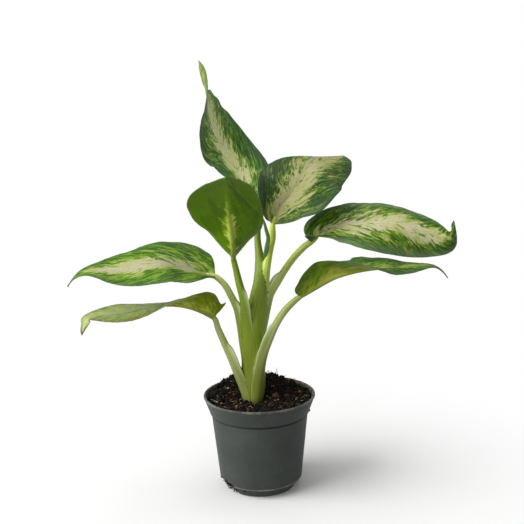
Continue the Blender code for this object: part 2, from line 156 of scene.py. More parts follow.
def vert_uv(me, name, uv):
    """A UV map from one coordinate pair per vertex."""
    layer = me.uv_layers.new(name=name)
    idx = np.empty(len(me.loops), np.int32)
    me.loops.foreach_get("vertex_index", idx)
    layer.data.foreach_set("uv", np.asarray(uv, np.float32)[idx].ravel())


def vert_attr(me, name, values):
    a = me.attributes.new(name, 'FLOAT', 'POINT')
    a.data.foreach_set("value", np.asarray(values, np.float32).ravel())


# ------------------------------------------------------------- node helpers
class Nodes:
    """A small builder for one material's node tree."""

    def __init__(self, name):
        self.mat = bpy.data.materials.new(name)
        self.mat.use_nodes = True
        self.t = self.mat.node_tree
        self.b = self.t.nodes["Principled BSDF"]
        self.x = 0

    def add(self, kind, **props):
        n = self.t.nodes.new(kind)
        self.x -= 40
        n.location = (self.x, 0)
        for k, v in props.items():
            setattr(n, k, v)
        return n

    def put(self, sock, val):
        if isinstance(val, bpy.types.NodeSocket):
            self.t.links.new(val, sock)
        elif val is not None:
            sock.default_value = val

    def uv(self, name):
        return self.add("ShaderNodeUVMap", uv_map=name).outputs["UV"]

    def attr(self, name):
        return self.add("ShaderNodeAttribute", attribute_name=name).outputs["Fac"]

    def coord(self, which="Object"):
        return self.add("ShaderNodeTexCoord").outputs[which]

    def mapping(self, vec, scale=(1, 1, 1), loc=(0, 0, 0)):
        n = self.add("ShaderNodeMapping")
        self.put(n.inputs["Vector"], vec)
        n.inputs["Scale"].default_value = scale
        n.inputs["Location"].default_value = loc
        return n.outputs["Vector"]

    def noise(self, vec, scale=1.0, detail=2.0, rough=0.5, distort=0.0):
        n = self.add("ShaderNodeTexNoise")
        self.put(n.inputs["Vector"], vec)
        n.inputs["Scale"].default_value = scale
        n.inputs["Detail"].default_value = detail
        n.inputs["Roughness"].default_value = rough
        n.inputs["Distortion"].default_value = distort
        return n.outputs["Fac"]

    def voronoi(self, vec, scale=1.0, out="Distance"):
        n = self.add("ShaderNodeTexVoronoi")
        self.put(n.inputs["Vector"], vec)
        n.inputs["Scale"].default_value = scale
        return n.outputs[out]

    def math(self, op, a, b=None, c=None, clamp=False):
        n = self.add("ShaderNodeMath", operation=op, use_clamp=clamp)
        self.put(n.inputs[0], a)
        if b is not None:
            self.put(n.inputs[1], b)
        if c is not None:
            self.put(n.inputs[2], c)
        return n.outputs[0]

    def step(self, x, a, b):
        """Smooth 0 to 1 as x goes from a to b."""
        n = self.add("ShaderNodeMapRange", interpolation_type='SMOOTHSTEP')
        self.put(n.inputs["Value"], x)
        n.inputs["From Min"].default_value = a
        n.inputs["From Max"].default_value = b
        return n.outputs["Result"]

    def split(self, vec):
        n = self.add("ShaderNodeSeparateXYZ")
        self.put(n.inputs[0], vec)
        return n.outputs

    def ramp(self, fac, stops, interp='EASE'):
        n = self.add("ShaderNodeValToRGB")
        n.color_ramp.interpolation = interp
        e = n.color_ramp.elements
        while len(e) < len(stops):
            e.new(0.5)
        for k, (p, c) in enumerate(stops):
            e[k].position = p
            e[k].color = c
        self.put(n.inputs["Fac"], fac)
        return n.outputs["Color"]

    def mix(self, fac, a, b, mode='MIX'):
        n = self.add("ShaderNodeMix", data_type='RGBA', blend_type=mode)
        self.put(n.inputs[0], fac)
        self.put(n.inputs[6], a)
        self.put(n.inputs[7], b)
        return n.outputs[2]

    def bump(self, height, dist, strength=1.0):
        n = self.add("ShaderNodeBump")
        n.inputs["Strength"].default_value = strength
        n.inputs["Distance"].default_value = dist
        self.put(n.inputs["Height"], height)
        return n.outputs["Normal"]

    def finish(self, color=None, rough=None, normal=None, **fixed):
        self.put(self.b.inputs["Base Color"], color)
        self.put(self.b.inputs["Roughness"], rough)
        self.put(self.b.inputs["Normal"], normal)
        for k, v in fixed.items():
            self.b.inputs[k.replace("_", " ")].default_value = v
        return self.mat


# ==================================================================== leaves
LEAVES = {
    "top": dict(mid=[(1.5, 15, 148.5), (-4, 23, 160.5), (-15, 32.5, 173.5), (-21, 25.5, 189.5),
                     (-24, 19.5, 206.5), (-24.5, 16.5, 213.5), (-28, 19.5, 227.5)],
                face=(0, -0.99, 0.15), roll=(34, 39, 54, 92),
                swell=((1, .70, .03, .14), (1, .785, .025, .25), (-1, .82, .03, .30), (1, .60, .04, .04)),
                fold_l=(34, 33, 19, 33), fold_r=(17, 17, -7, -11),
                curl_l=(19, -22, 20), curl_r=(-4, -10, -26), half=(20.5, 19.5), lobe=(0, 0)),
    "front": dict(mid=[(-11.5, -12.5, 127), (-11, -21, 133), (-11.5, -31.5, 147),
                       (-12.5, -43.5, 157.5), (-12, -57, 167.5), (-11.5, -73.5, 172.5)],
                  face=(0.1, 0.6, 0.8), roll=(4, 0, 5, 5),
                  fold_l=(48, 19, 14, 6), fold_r=(42, 19, 8, 1),
                  curl_l=(15, -13, -10), curl_r=(15, -14, -12), half=(16, 20.5), lobe=(1.5, 2.5)),
    "upper_right": dict(mid=[(9, 3.5, 142), (12, 9.5, 150), (20.5, 15, 154.5), (27.5, 22.5, 173.5),
                             (44.5, 38, 174.5), (51, 57, 174.5)],
                        face=(-0.2, -0.61, 0.76), roll=(18, 8, 2, -1),
                        fold_l=(46, 17, 2, 3), fold_r=(24, 8, -1, 4),
                        curl_l=(35, -33, -20), curl_r=(6, -27, -19), half=(21.5, 21.5), lobe=(3.5, 1),
                        swell=((1, .45, .12, .07), (1, .80, .04, -.05), (-1, .62, .03, .04))),
    "right": dict(mid=[(32, 10.5, 133.5), (35.5, 15, 138.5), (54.5, 14, 140.5), (76.5, 13.5, 141.5),
                       (98.5, 14, 131), (106.5, 13, 130), (108, 20.5, 139.8)],
                  face=(0, -0.6, 0.8), roll=(-3, 1, 8, 27),
                  fold_l=(15, 8, -2, 5), fold_r=(22, 5, -10, -22),
                  curl_l=(-6, -18, -14), curl_r=(1, -25, -28), half=(15.5, 19.5), lobe=(4.2, 0.5),
                  ear=((1, .015, .020, 2.5, (-10.5, -3.0, 1.7)), (1, 0, .008, 3.0, (2.0, 0, -3.0)),
                       (-1, .875, .028, 2.5, (2.4, 0, -.1))),
                  swell=((-1, .925, .04, -.76), (1, .05, .05, -.08), (1, .16, .07, -.05))),
    "lower_right": dict(mid=[(22.5, -5.5, 105), (36.5, -12, 114.5), (40, -19.5, 118), (55.5, -23, 122.5),
                             (80.5, -25.5, 123), (89.5, -26.5, 125), (94, -28.5, 117.5)],
                        face=(0, -0.1, 1), roll=(12, -6, -1, -9),
                        fold_l=(44, 24, 4, -2), fold_r=(57, 50, 6, 6),
                        curl_l=(-15, -8, -16), curl_r=(-20, -15, -5), half=(18.5, 15), lobe=(0, 1)),
    "left": dict(mid=[(-22, -1.5, 116), (-37.5, -5, 121.5), (-47, -9.5, 126), (-61, -13, 123.5),
                      (-80.5, -15.5, 122), (-90, -19, 123), (-95, -19, 115.5)],
                 face=(0, -0.6, 0.8), roll=(6, 6, 10, 28),
                 fold_l=(30, 15, 13, 25), fold_r=(23, 9, 3, -1),
                 curl_l=(6, -11, -1), curl_r=(9, -24, -13), half=(18.5, 18.5), lobe=(1, 0.5),
                 swell=((-1, .055, .045, -.38), (-1, .20, .06, .10))),
    "lower_left": dict(mid=[(-23, 2, 92.5), (-32, -4.5, 100.3), (-46, -8.3, 104), (-63, -9.5, 100.5),
                            (-78, -12, 98.8), (-86.5, -13.5, 98.6), (-89.5, -15, 97.2), (-89, -20, 90.5)],
                       face=(0, -0.1, 1), roll=(7, 8, 0, 2),
                       fold_l=(95, 28, 10, 11), fold_r=(51, 3, 9, 9),
                       curl_l=(11, -37, 4), curl_r=(-6, -21, -5), half=(15, 16.5), lobe=(4.0, 5),
                       ear=((-1, .020, .013, 5.0, (3.0, 0, 4.2)),), swell=((-1, .058, .02, -.06), (1, .93, .06, -.72))),
}
OUT_U = [0, 0.03, 0.10, 0.22, 0.36, 0.50, 0.64, 0.77, 0.88, 0.95, 1.0]
OUT_W = [0.10, 0.46, 0.74, 0.93, 1, 0.98, 0.87, 0.66, 0.38, 0.17, 0.0]
LEAF_T = 0.42
TIP_HALF = 0.25


def blade_points(p, u, v):
    """Middle surface of a blade, the normals of its upper side, its half
    widths and its length, in millimetres."""
    P, T, L = midrib(p["mid"], u)
    f = np.asarray(p["face"], float)
    f /= np.linalg.norm(f)
    N = f[None] - (T @ f)[:, None] * T
    N /= np.linalg.norm(N, axis=1)[:, None]
    R = np.cross(T, N)
    k4, k3 = (0, .33, .67, 1), (0, .5, 1)
    a = np.radians(hermite(k4, p["roll"], u))[:, None]
    N = N * np.cos(a) + R * np.sin(a)
    R = np.cross(T, N)
    W = hermite(OUT_U, OUT_W, u)
    out = np.empty((len(u), len(v), 3))
    wid = np.empty((len(u), len(v)))
    for j, vv in enumerate(v):
        side = 1 if vv >= 0 else 0
        s = 1.0 if side else -1.0
        fold = np.radians(hermite(k4, p["fold_r" if side else "fold_l"], u))
        curl = np.radians(hermite(k3, p["curl_r" if side else "curl_l"], u))
        w = np.maximum(p["half"][side] * W, TIP_HALF)
        for sd, u0, su, am in p.get("swell", ()):
            if sd in (0, s):
                w = w * (1 + am * np.exp(-((u - u0) / su)**2))
        wid[:, j] = w
        t = abs(vv)
        x = np.zeros(len(u))
        y = np.zeros(len(u))
        for q in range(8):
            m = (q + .5) / 8 * t
            x += np.cos(fold + curl * m) * t / 8
            y += np.sin(fold + curl * m) * t / 8
        lobe = (p["lobe"][side] * (1 - np.exp(-(u / 0.012)**2))
                * np.exp(-(u / 0.10)**1.5) * t**1.6)
        for sd, u0, su, am, pw in p.get("spur", ()):
            if sd == s:
                lobe = lobe + am * np.exp(-((u - u0) / su)**2) * t**pw
        ear = 0
        for sd, u0, su, pw, vec in p.get("ear", ()):
            if sd == s:
                ear = ear + (np.exp(-((u - u0) / su)**2) * t**pw)[:, None] * np.asarray(vec, float)
        out[:, j] = ear + P + (w * x * s)[:, None] * R + (w * y)[:, None] * N - lobe[:, None] * T
    n = np.cross(np.gradient(out, axis=1), np.gradient(out, axis=0))
    n /= np.maximum(np.linalg.norm(n, axis=2), 1e-9)[..., None]
    return out, n, wid, L


# How each blade is patterned. slant: how far the flecks lean along the
# midrib. cream: where the pale centre ends, as a fraction of the half width.
# marks: (u, v, size in u, size in v, amount); above 0 is greener.
# colours: cream, its greener part, then greens from pale to deep.
STD = ((205, 197, 170), (182, 184, 118), (148, 172, 56), (98, 136, 20), (56, 96, 4), (34, 68, 6))
PATTERN = {
    "top": dict(slant=1.35, cream=0.30, seed=3, vein=5.0, sheen_amount=.40,
                colours=((246, 242, 200), (220, 226, 150), (168, 196, 86), (112, 156, 50), (70, 116, 36), (48, 88, 42)),
                marks=[(.10, .55, .10, .30, .20), (.10, -.5, .12, .3, .2), (.72, -.1, .10, .4, .12),
                       (.9, 0, .10, .8, .3), (.45, .0, .25, .22, -.14), (.35, -.2, .2, .15, -.1)]),
    "front": dict(slant=0.7, cream=0.30, seed=11, vein=4.6, marks=[],
                  marks_under=[(.92, 0, .30, .5, .7), (.30, 0, .22, .08, -.10), (.05, 0, .08, .3, .15)]),
    "upper_right": dict(slant=1.2, cream=0.42, seed=23, vein=4.8, sheen_amount=.32,
                        colours=((174, 168, 128), (152, 158, 88), (112, 134, 42), (70, 101, 16), (40, 72, 8), (27, 54, 12)),
                        marks=[(.45, .05, .28, .26, -.26), (.30, -.55, .05, .12, .6), (.42, -.38, .045, .10, .55),
                               (.22, -.40, .03, .08, .5), (.36, -.66, .05, .10, .45), (.55, -.30, .03, .07, .45),
                               (.85, .7, .15, .3, .2), (.15, -.75, .12, .3, .25), (.48, .55, .10, .14, .38),
                               (.30, .62, .06, .10, .35), (.64, .45, .05, .12, .3), (.25, .40, .10, .12, -.16)]),
    "right": dict(slant=1.4, cream=0.36, seed=37, vein=4.6, sheen_amount=.50, sheen_tone=srgb(120, 142, 104),
                  marks=[(.07, -.2, .09, .6, .34), (.62, -.05, .18, .34, -.24), (.30, .30, .12, .22, -.16),
                         (.30, -.6, .2, .25, .12), (.94, 0, .10, .9, .65), (.46, -.35, .03, .07, .5),
                         (.70, .15, .03, .06, .5), (.52, .42, .10, .12, .35)]),
    "lower_right": dict(slant=1.2, cream=0.16, seed=41, vein=4.6, sheen_amount=.25,
                        colours=((148, 160, 84), (126, 148, 56), (98, 130, 30), (72, 108, 16), (46, 82, 4), (32, 64, 4)),
                        marks=[(.6, .1, .2, .6, .05)]),
    "left": dict(slant=1.6, cream=0.34, seed=53, vein=4.6, sheen_amount=.22,
                 colours=((182, 174, 150), (166, 168, 108), (136, 160, 54), (102, 142, 16), (68, 110, 2), (46, 82, 4)),
                 marks=[(.95, 0, .09, .9, .75), (.55, -.05, .22, .26, -.20), (.08, 0, .08, .6, .22), (.30, .62, .25, .25, .24),
                        (.27, -.45, .055, .16, .65), (.45, -.40, .04, .10, .5), (.72, -.35, .05, .12, .4),
                        (.62, .38, .04, .07, .4), (.40, .35, .03, .06, .4)]),
    "lower_left": dict(slant=0.9, cream=0.42, seed=67, vein=4.6, sheen_amount=.10,
                       colours=((172, 182, 118), (164, 178, 110), (156, 172, 102), (146, 162, 92), (126, 146, 70),
                                (108, 124, 58)), marks=[(.62, -.3, .08, .15, .3)]),
}
# colour of the painted sheen on the leaf margins
SHEEN_BLUE = srgb(80, 108, 78)


def blade_upper(name, p):
    n = Nodes("blade_upper_" + name)
    vein = n.uv("vein")
    leaf = n.uv("leaf")
    mark = n.attr("mark")
    dist = n.attr("dist")
    av = n.attr("edge")
    sd = float(p["seed"])
    K = [srgb(*c) for c in p.get("colours", STD)]
    c = p["cream"]
    # three sizes of fleck, all drawn out along the side veins
    rnd = 1.22 / math.hypot(1, p["slant"])
    fine = n.noise(n.mapping(vein, (12 * rnd, 7.0, 1), (sd, sd * .37, 0)), 1.0, 3.0, .62, .8)
    streak = n.noise(n.mapping(vein, (3.6 * rnd, 2.1, 1), (sd * 1.3, sd, 0)), 1.0, 5.0, .68, 1.3)
    blotch = n.noise(n.mapping(vein, (1.5 * rnd, 1.2, 1), (sd * .7, sd * 2.1, 0)), 1.0, 2.0, .5, .6)
    e = n.math('MULTIPLY_ADD', n.math('SUBTRACT', streak, .5), 2.5, av)
    e = n.math('MULTIPLY_ADD', n.math('SUBTRACT', fine, .5), 1.0, e)
    e = n.math('MULTIPLY_ADD', n.math('SUBTRACT', blotch, .5), 1.2, e)
    e = n.math('ADD', e, mark)
    # the greens: blotchy, paler where they meet the cream, deeper outside
    g = n.noise(n.mapping(vein, (4.4 * rnd, 2.8, 1), (sd * 2.9, sd * .6, 4)), 1.0, 4.0, .66, 1.2)
    g = n.math('MULTIPLY_ADD', n.math('SUBTRACT', g, .5), 1.7, .5)
    g = n.math('ADD', g, n.math('MULTIPLY', n.math('SUBTRACT', c + .20, e), .40))
    green = n.ramp(g, [(.22, K[5]), (.40, K[4]), (.56, K[3]), (.74, K[2])], 'LINEAR')
    pale = n.ramp(n.math('ADD', n.math('MULTIPLY', fine, .5), n.math('MULTIPLY', blotch, .5)),
                  [(.40, K[1]), (.54, K[0])], 'LINEAR')
    pale = n.mix(n.math('MULTIPLY', n.step(e, c - .22, c - .03), .85), pale, K[1])
    thread = n.noise(n.mapping(vein, (11, 1.8, 1), (sd * .3, sd * 1.9, 6)), 1.0, 3.0, .6, .7)
    pale = n.mix(n.math('MULTIPLY', n.step(thread, .52, .66), .5), pale, K[1])
    pale = n.mix(n.math('MULTIPLY', n.step(thread, .63, .72), .45), pale, K[2])
    isle = n.noise(n.mapping(vein, (3.0 * rnd, 2.3, 1), (sd * 4.1, sd * .9, 8)), 1.0, 4.0, .62, 1.0)
    isle = n.math('MULTIPLY_ADD', av, .10, isle)
    pale = n.mix(n.math('MULTIPLY', n.step(isle, .57, .60), .85), pale, K[2])
    pale = n.mix(n.math('MULTIPLY', n.step(isle, .635, .655), .9), pale, K[3])
    col = n.mix(n.step(e, c - .02, c + .025), pale, green)
    # painted sheen: the margin mixed towards a blue-grey reflection colour
    col = n.mix(n.math('MULTIPLY', n.step(av, .62, 1.0), p.get("sheen_amount", .3)), col, p.get("sheen_tone", SHEEN_BLUE))
    # lateral veins and midrib
    q = n.split(vein)[0]
    wave = n.math('SINE', n.math('MULTIPLY', q, 2 * math.pi * 10 / p["vein"]))
    col = n.mix(n.math('MULTIPLY', n.step(wave, .78, 1.0), .07), col, srgb(205, 215, 160))
    u = n.split(leaf)[0]
    rib = n.step(dist, .80, .20)
    ribc = n.mix(n.step(u, .45, .95), K[0], K[2])
    col = n.mix(n.math('MULTIPLY', rib, .55), col, ribc)
    # thin pale line along the margin
    col = n.mix(n.math('MULTIPLY', n.step(av, .985, 1.0), .45), col, srgb(160, 182, 140))
    if name == "lower_left":
        brown = n.math('MULTIPLY', n.step(av, .86, 1.0), n.step(blotch, .42, .58))
        col = n.mix(n.math('MULTIPLY', brown, .8), col, srgb(120, 92, 52))
        col = n.mix(n.math('MULTIPLY', n.step(u, .955, .995), .9), col, srgb(112, 62, 40))
    tex = n.noise(n.coord(), 2600, 2.0, .6)
    rough = n.math('MULTIPLY_ADD', n.math('SUBTRACT', streak, .5), .25, .46)
    return n.finish(col, rough, n.bump(tex, .00003, .55), Specular_IOR_Level=0.22)


UNDER = {
    # pale centre, then outwards; how far the pale centre reaches
    "front": (((206, 216, 102), (142, 178, 18), (92, 130, 2), (102, 142, 2)), .08),
    "lower_left": (((206, 210, 98), (182, 194, 50), (144, 162, 16), (118, 138, 11)), .24),
    "lower_right": (((166, 168, 70), (148, 162, 38), (120, 148, 22), (76, 110, 7)), .24),
    "top": (((150, 164, 96), (128, 146, 76), (108, 130, 58), (90, 114, 46)), .30),
}


def blade_under(name, p):
    n = Nodes("blade_under_" + name)
    vein = n.uv("vein")
    leaf = n.uv("leaf")
    mark = n.attr("mark_under")
    dist = n.attr("dist")
    av = n.attr("edge")
    sd = float(p["seed"])
    cols, c = UNDER.get(name, (((166, 182, 104), (126, 152, 66), (98, 130, 46), (80, 114, 40)), .25))
    cols = [srgb(*k) for k in cols]
    fine = n.noise(n.mapping(vein, (12, 4.0, 1), (sd, sd * .37, 0)), 1.0, 3.0, .6, .6)
    streak = n.noise(n.mapping(vein, (3.2, 2.2, 1), (sd * 1.3, sd, 0)), 1.0, 4.0, .64, .8)
    blotch = n.noise(n.mapping(vein, (1.7, 1.5, 1), (sd * .7, sd * 2.1, 0)), 1.0, 2.0, .5, .4)
    e = n.math('MULTIPLY_ADD', n.math('SUBTRACT', streak, .5), 2.2 if name != "front" else 1.3, av)
    e = n.math('MULTIPLY_ADD', n.math('SUBTRACT', fine, .5), .7, e)
    e = n.math('MULTIPLY_ADD', n.math('SUBTRACT', blotch, .5), 1.2 if name != "front" else .4, e)
    e = n.math('ADD', e, mark)
    col = n.ramp(e, [(0.0, cols[0]), (c, cols[1]), (c + .16, cols[2]), (min(.97, c + .75), cols[3])], 'LINEAR')
    q = n.split(vein)[0]
    wave = n.math('SINE', n.math('MULTIPLY', q, 2 * math.pi * 10 / p["vein"]))
    col = n.mix(n.math('MULTIPLY', n.step(wave, .7, 1.0), .02 if name == "front" else .06), col, srgb(178, 196, 128))
    u = n.split(leaf)[0]
    if name == "front":
        # the brighter outer part, beyond the crease
        cr = n.attr("crease")
        col = n.mix(n.math('MULTIPLY', n.step(cr, .0, .10), .6), col, srgb(88, 124, 10))
        shade = n.noise(n.mapping(leaf, (3.5, 5, 1), (2, 4, 0)), 1.0, 3.0, .6, .8)
        col = n.mix(n.math('MULTIPLY', n.step(shade, .46, .62), .45), col, srgb(50, 78, 2))
        # painted shade in a band along the inner side of the crease
        col = n.mix(n.math('MULTIPLY', n.math('MULTIPLY', n.step(cr, -.30, -.02), n.step(cr, .02, .0)), .45), col, srgb(48, 72, 4))
        # painted highlight along the crease line
        col = n.mix(n.math('MULTIPLY', n.step(n.math('ABSOLUTE', cr), .032, .005), .62), col, srgb(112, 120, 66))
        col = n.mix(n.math('MULTIPLY', n.step(av, .80, 1.0), .55), col, srgb(96, 136, 32))
    if name == "lower_left":
        col = n.mix(n.math('MULTIPLY', n.step(u, .30, .40), .7), col, srgb(126, 104, 56))
    rib = n.math('MULTIPLY', n.step(dist, 1.5, .5), n.step(u, .85, .50)) if name == "front" else n.step(dist, 1.5, .5)
    ribc = n.mix(n.step(u, .10, .6), srgb(122, 146, 60), cols[1])
    col = n.mix(n.math('MULTIPLY', rib, .6), col, ribc)
    col = n.mix(n.math('MULTIPLY', n.step(av, .975, 1.0), .5), col, srgb(150, 172, 130))
    tex = n.noise(n.coord(), 2200, 2.0, .6)
    rough = n.math('MULTIPLY_ADD', n.math('SUBTRACT', streak, .5), .2, .50)
    return n.finish(col, rough, n.bump(tex, .00003, .6), Specular_IOR_Level=0.10)


# the front blade's crease: distance along it, distance from its midrib
CREASE = ((.38, .55, .70, .85, 1.0), (1.04, .675, .41, .21, .04))


def make_blade(name):
    p, k = LEAVES[name], PATTERN[name]
    t = np.linspace(0, 1, 151)
    u = 0.55 * t + 0.45 * (1 - np.cos(np.pi * t)) / 2
    vp = np.r_[.018, .04, .07, .105, .15, np.linspace(.19, .93, 18), .965, .988, 1.0]
    v = np.r_[-vp[::-1], 0, vp]
    S, N, W, L = blade_points(p, u, v)
    U, V = np.meshgrid(u, v, indexing='ij')
    A = np.abs(V)
    d = A * W
    s = U * L
    side = np.where(V >= 0, 1.0, 0.0)
    q = s - k["slant"] * d - 0.012 * k["slant"] * d * d + side * 2.1
    # veins, waves of the margin and slow unevenness
    sd = k["seed"]
    env = smooth(.8, 4.5, d) * (1 - 0.6 * smooth(.8, 1, A)) * smooth(0, .05, U) * smooth(1, .93, U)
    amp = .016 if name == "front" else .06
    rip = amp * np.sin(2 * np.pi * q / k["vein"] + 2.4 * (vnoise(s / 14, side * 9, 0, sd) - .5)) * env
    rip += 0.035 * np.sin(2 * np.pi * q / (k["vein"] * .37) + 5 * vnoise(s / 9, side * 5, 0, sd + 5)) * env
    edge = A**3 * smooth(0, .08, U) * smooth(1, .86, U)
    wav = 1.7 * (fbm(s / 11, side * 31.7, 0, sd + 1, 3) - .5) * edge
    slow = 0.7 * (fbm(s / 22, V * 1.6, 0, sd + 2, 2) - .5) * smooth(.05, .5, A) * smooth(0, .1, U)
    h = rip + wav + slow
    if name == "front":
        crease = np.where(V < 0, A - np.interp(U, *CREASE), -1.0)
        h = h - .22 * np.exp(-(crease / .05)**2) + .6 * np.clip(crease, 0, 1)
    thick = LEAF_T * np.sqrt(np.clip(1 - A**16, 0, 1))
    taper = (1 - U)**0.8
    groove = (0.20 * taper + .03) * np.exp(-(d / (0.55 + .25 * taper))**2) * smooth(0, .02, U)
    ridge = (1.15 * taper**1.4 + .05) * np.exp(-(d / (0.55 + .65 * taper))**2)
    up = S + N * (h + thick / 2 - groove)[..., None]
    dn = S + N * (h - thick / 2 - ridge)[..., None]
    rimv = S + N * h[..., None]
    nu, nv = len(u), len(v)
    rim = np.zeros((nu, nv), bool)
    rim[:, 0] = rim[:, -1] = rim[0] = rim[-1] = True
    up[rim] = rimv[rim]
    iu = np.arange(nu * nv).reshape(nu, nv)
    il = iu.copy()
    inner = ~rim
    il[inner] = nu * nv + np.arange(inner.sum())
    verts = np.concatenate([up.reshape(-1, 3), dn[inner]])
    a, b, c, e = iu[:-1, :-1], iu[:-1, 1:], iu[1:, 1:], iu[1:, :-1]
    F1 = np.stack([a, b, c, e], -1).reshape(-1, 4)
    a, b, c, e = il[:-1, :-1], il[:-1, 1:], il[1:, 1:], il[1:, :-1]
    F2 = np.stack([a, e, c, b], -1).reshape(-1, 4)
    ob = new_object("blade_" + name, verts, F1.tolist() + F2.tolist(),
                    [blade_upper(name, k), blade_under(name, k)])
    me = ob.data
    me.polygons.foreach_set("material_index", np.r_[np.zeros(len(F1), np.int32), np.ones(len(F2), np.int32)])
    both = lambda x: np.concatenate([x.reshape(-1), x[inner]])
    vert_uv(me, "leaf", np.stack([both(U), both(V) * .5 + .5], -1))
    vert_uv(me, "vein", np.stack([both(q) / 10 + both(side) * 30, both(d) / 10], -1))
    mark = np.zeros_like(U)
    for mu, mv, su, sv, am in k["marks"]:
        mark += am * np.exp(-((U - mu) / su)**2 - ((V - mv) / sv)**2)
    mun = np.zeros_like(U)
    for mu, mv, su, sv, am in k.get("marks_under", []):
        mun += am * np.exp(-((U - mu) / su)**2 - ((V - mv) / sv)**2)
    vert_attr(me, "mark", both(mark))
    vert_attr(me, "mark_under", both(mun))
    if name == "front":
        # a crease from the tip to the margin of one half
        vert_attr(me, "crease", both(crease))
    vert_attr(me, "dist", both(d))
    vert_attr(me, "edge", both(A))
    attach(ob, "root")
    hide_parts("leaf_" + name)
    return ob


for leaf_name in LEAVES:
    make_blade(leaf_name)


# ================================================================== petioles
# path: x, y, z, radius, from inside the column outwards
# wing: direction of the sheath's open side; tip: height where it ends;
# rise: height of its edges over the stalk, at the base and at the tip
STALKS = {
    "top": dict(path=[(-2.8, 1.0, 47, 3.0), (-2.6, 1.0, 60, 3.3), (-2.2, .6, 76, 3.6), (-1.0, .6, 90, 3.8),
                      (0.5, 1.4, 101.5, 3.8), (1.7, 3.0, 112, 3.5), (2.0, 5.2, 119, 2.9), (1.6, 7.8, 125.5, 2.2),
                      (0.9, 11.5, 132.7, 1.8), (1.2, 13.3, 141.2, 1.6)],
                wing=(.6, .8, 0), tip=127.0, rise=(.0, .9),
                tint=((98, 120, 24), (112, 132, 36), (132, 150, 58))),
    "front": dict(path=[(-3.4, -1.0, 56, 2.6), (-4.0, -1.3, 70, 2.6), (-4.8, -2.2, 84, 2.5), (-5.9, -4.0, 94, 2.4),
                        (-7, -6.5, 104.5, 2.2), (-9, -8.5, 113.5, 1.9), (-10.5, -10.5, 121.5, 1.6)],
                  wing=(1, .1, 0), tip=111.0, rise=(.5, 1.3),
                  tint=((98, 130, 14), (118, 150, 24), (144, 170, 52))),
    "upper_right": dict(path=[(-1.2, 1.0, 52, 3.0), (-.9, 1.2, 66, 2.9), (.2, 1.6, 82, 2.6), (2.0, 2.4, 98.5, 2.3),
                              (3.5, 2.7, 107, 2.2), (4.8, 2.8, 115, 2.0), (6.0, 2.7, 122, 1.9),
                              (7.4, 2.6, 129, 1.8), (8.7, 2.5, 135, 1.8)],
                        wing=(-.3, 1, 0), tip=114.0, rise=(.0, .4),
                        tint=((164, 188, 54), (192, 212, 84), (212, 226, 128))),
    "right": dict(path=[(-.6, 1.2, 56, 2.9), (-.3, 1, 68, 2.8), (.3, 1, 81.5, 2.4), (3, 2, 90, 2.3),
                        (5, 3.5, 97.5, 2.2), (7, 5, 104, 2.1), (11, 6.5, 110.5, 2.0), (15, 8, 116.5, 1.9),
                        (20, 9.5, 123, 1.85), (25, 10.3, 128, 1.8)],
                  wing=(-1, -.1, .5), tip=115.3, rise=(.8, 2.7),
                  tint=((156, 174, 56), (180, 196, 84), (202, 214, 124))),
    "lower_right": dict(path=[(-3.0, -3.4, 43.5, 2.4), (-1.6, -4.3, 49, 2.8), (-0.7, -5, 58, 2.8),
                              (0.8, -5.5, 66.5, 2.6), (3, -6, 75.5, 2.4), (6, -6.2, 83, 2.2),
                              (9.5, -6.5, 90.5, 2.0), (13, -6.5, 96, 1.9), (17, -6, 100.5, 1.75)],
                        wing=(-1, .12, .6), tip=90.8, rise=(.6, 2.2),
                        tint=((132, 148, 56), (158, 170, 88), (186, 194, 126))),
    "left": dict(path=[(-3.5, -.3, 56, 2.9), (-5.0, 0, 67, 2.5), (-7.5, -0.5, 78, 2.2), (-9, -1, 89, 2.1),
                       (-11, -1.5, 99, 1.9), (-14, -1.5, 106, 1.8), (-17, -1.5, 111.5, 1.65)],
                 wing=(1, -.15, .6), tip=102.8, rise=(.8, 1.9),
                 tint=((170, 190, 84), (198, 212, 116), (216, 224, 156))),
    "lower_left": dict(path=[(-3.8, -2.6, 43.5, 2.3), (-5.6, -2.2, 49, 2.7), (-8.2, -2.1, 55.5, 2.6),
                             (-11, -2, 62.5, 2.4), (-14.5, -1, 71.5, 2.15), (-18, 0, 79.5, 1.9),
                             (-21, 1.2, 86.5, 1.65)],
                       wing=(1, .12, .6), tip=79.2, rise=(.5, 2.0),
                       tint=((162, 174, 88), (186, 194, 118), (206, 212, 152))),
}


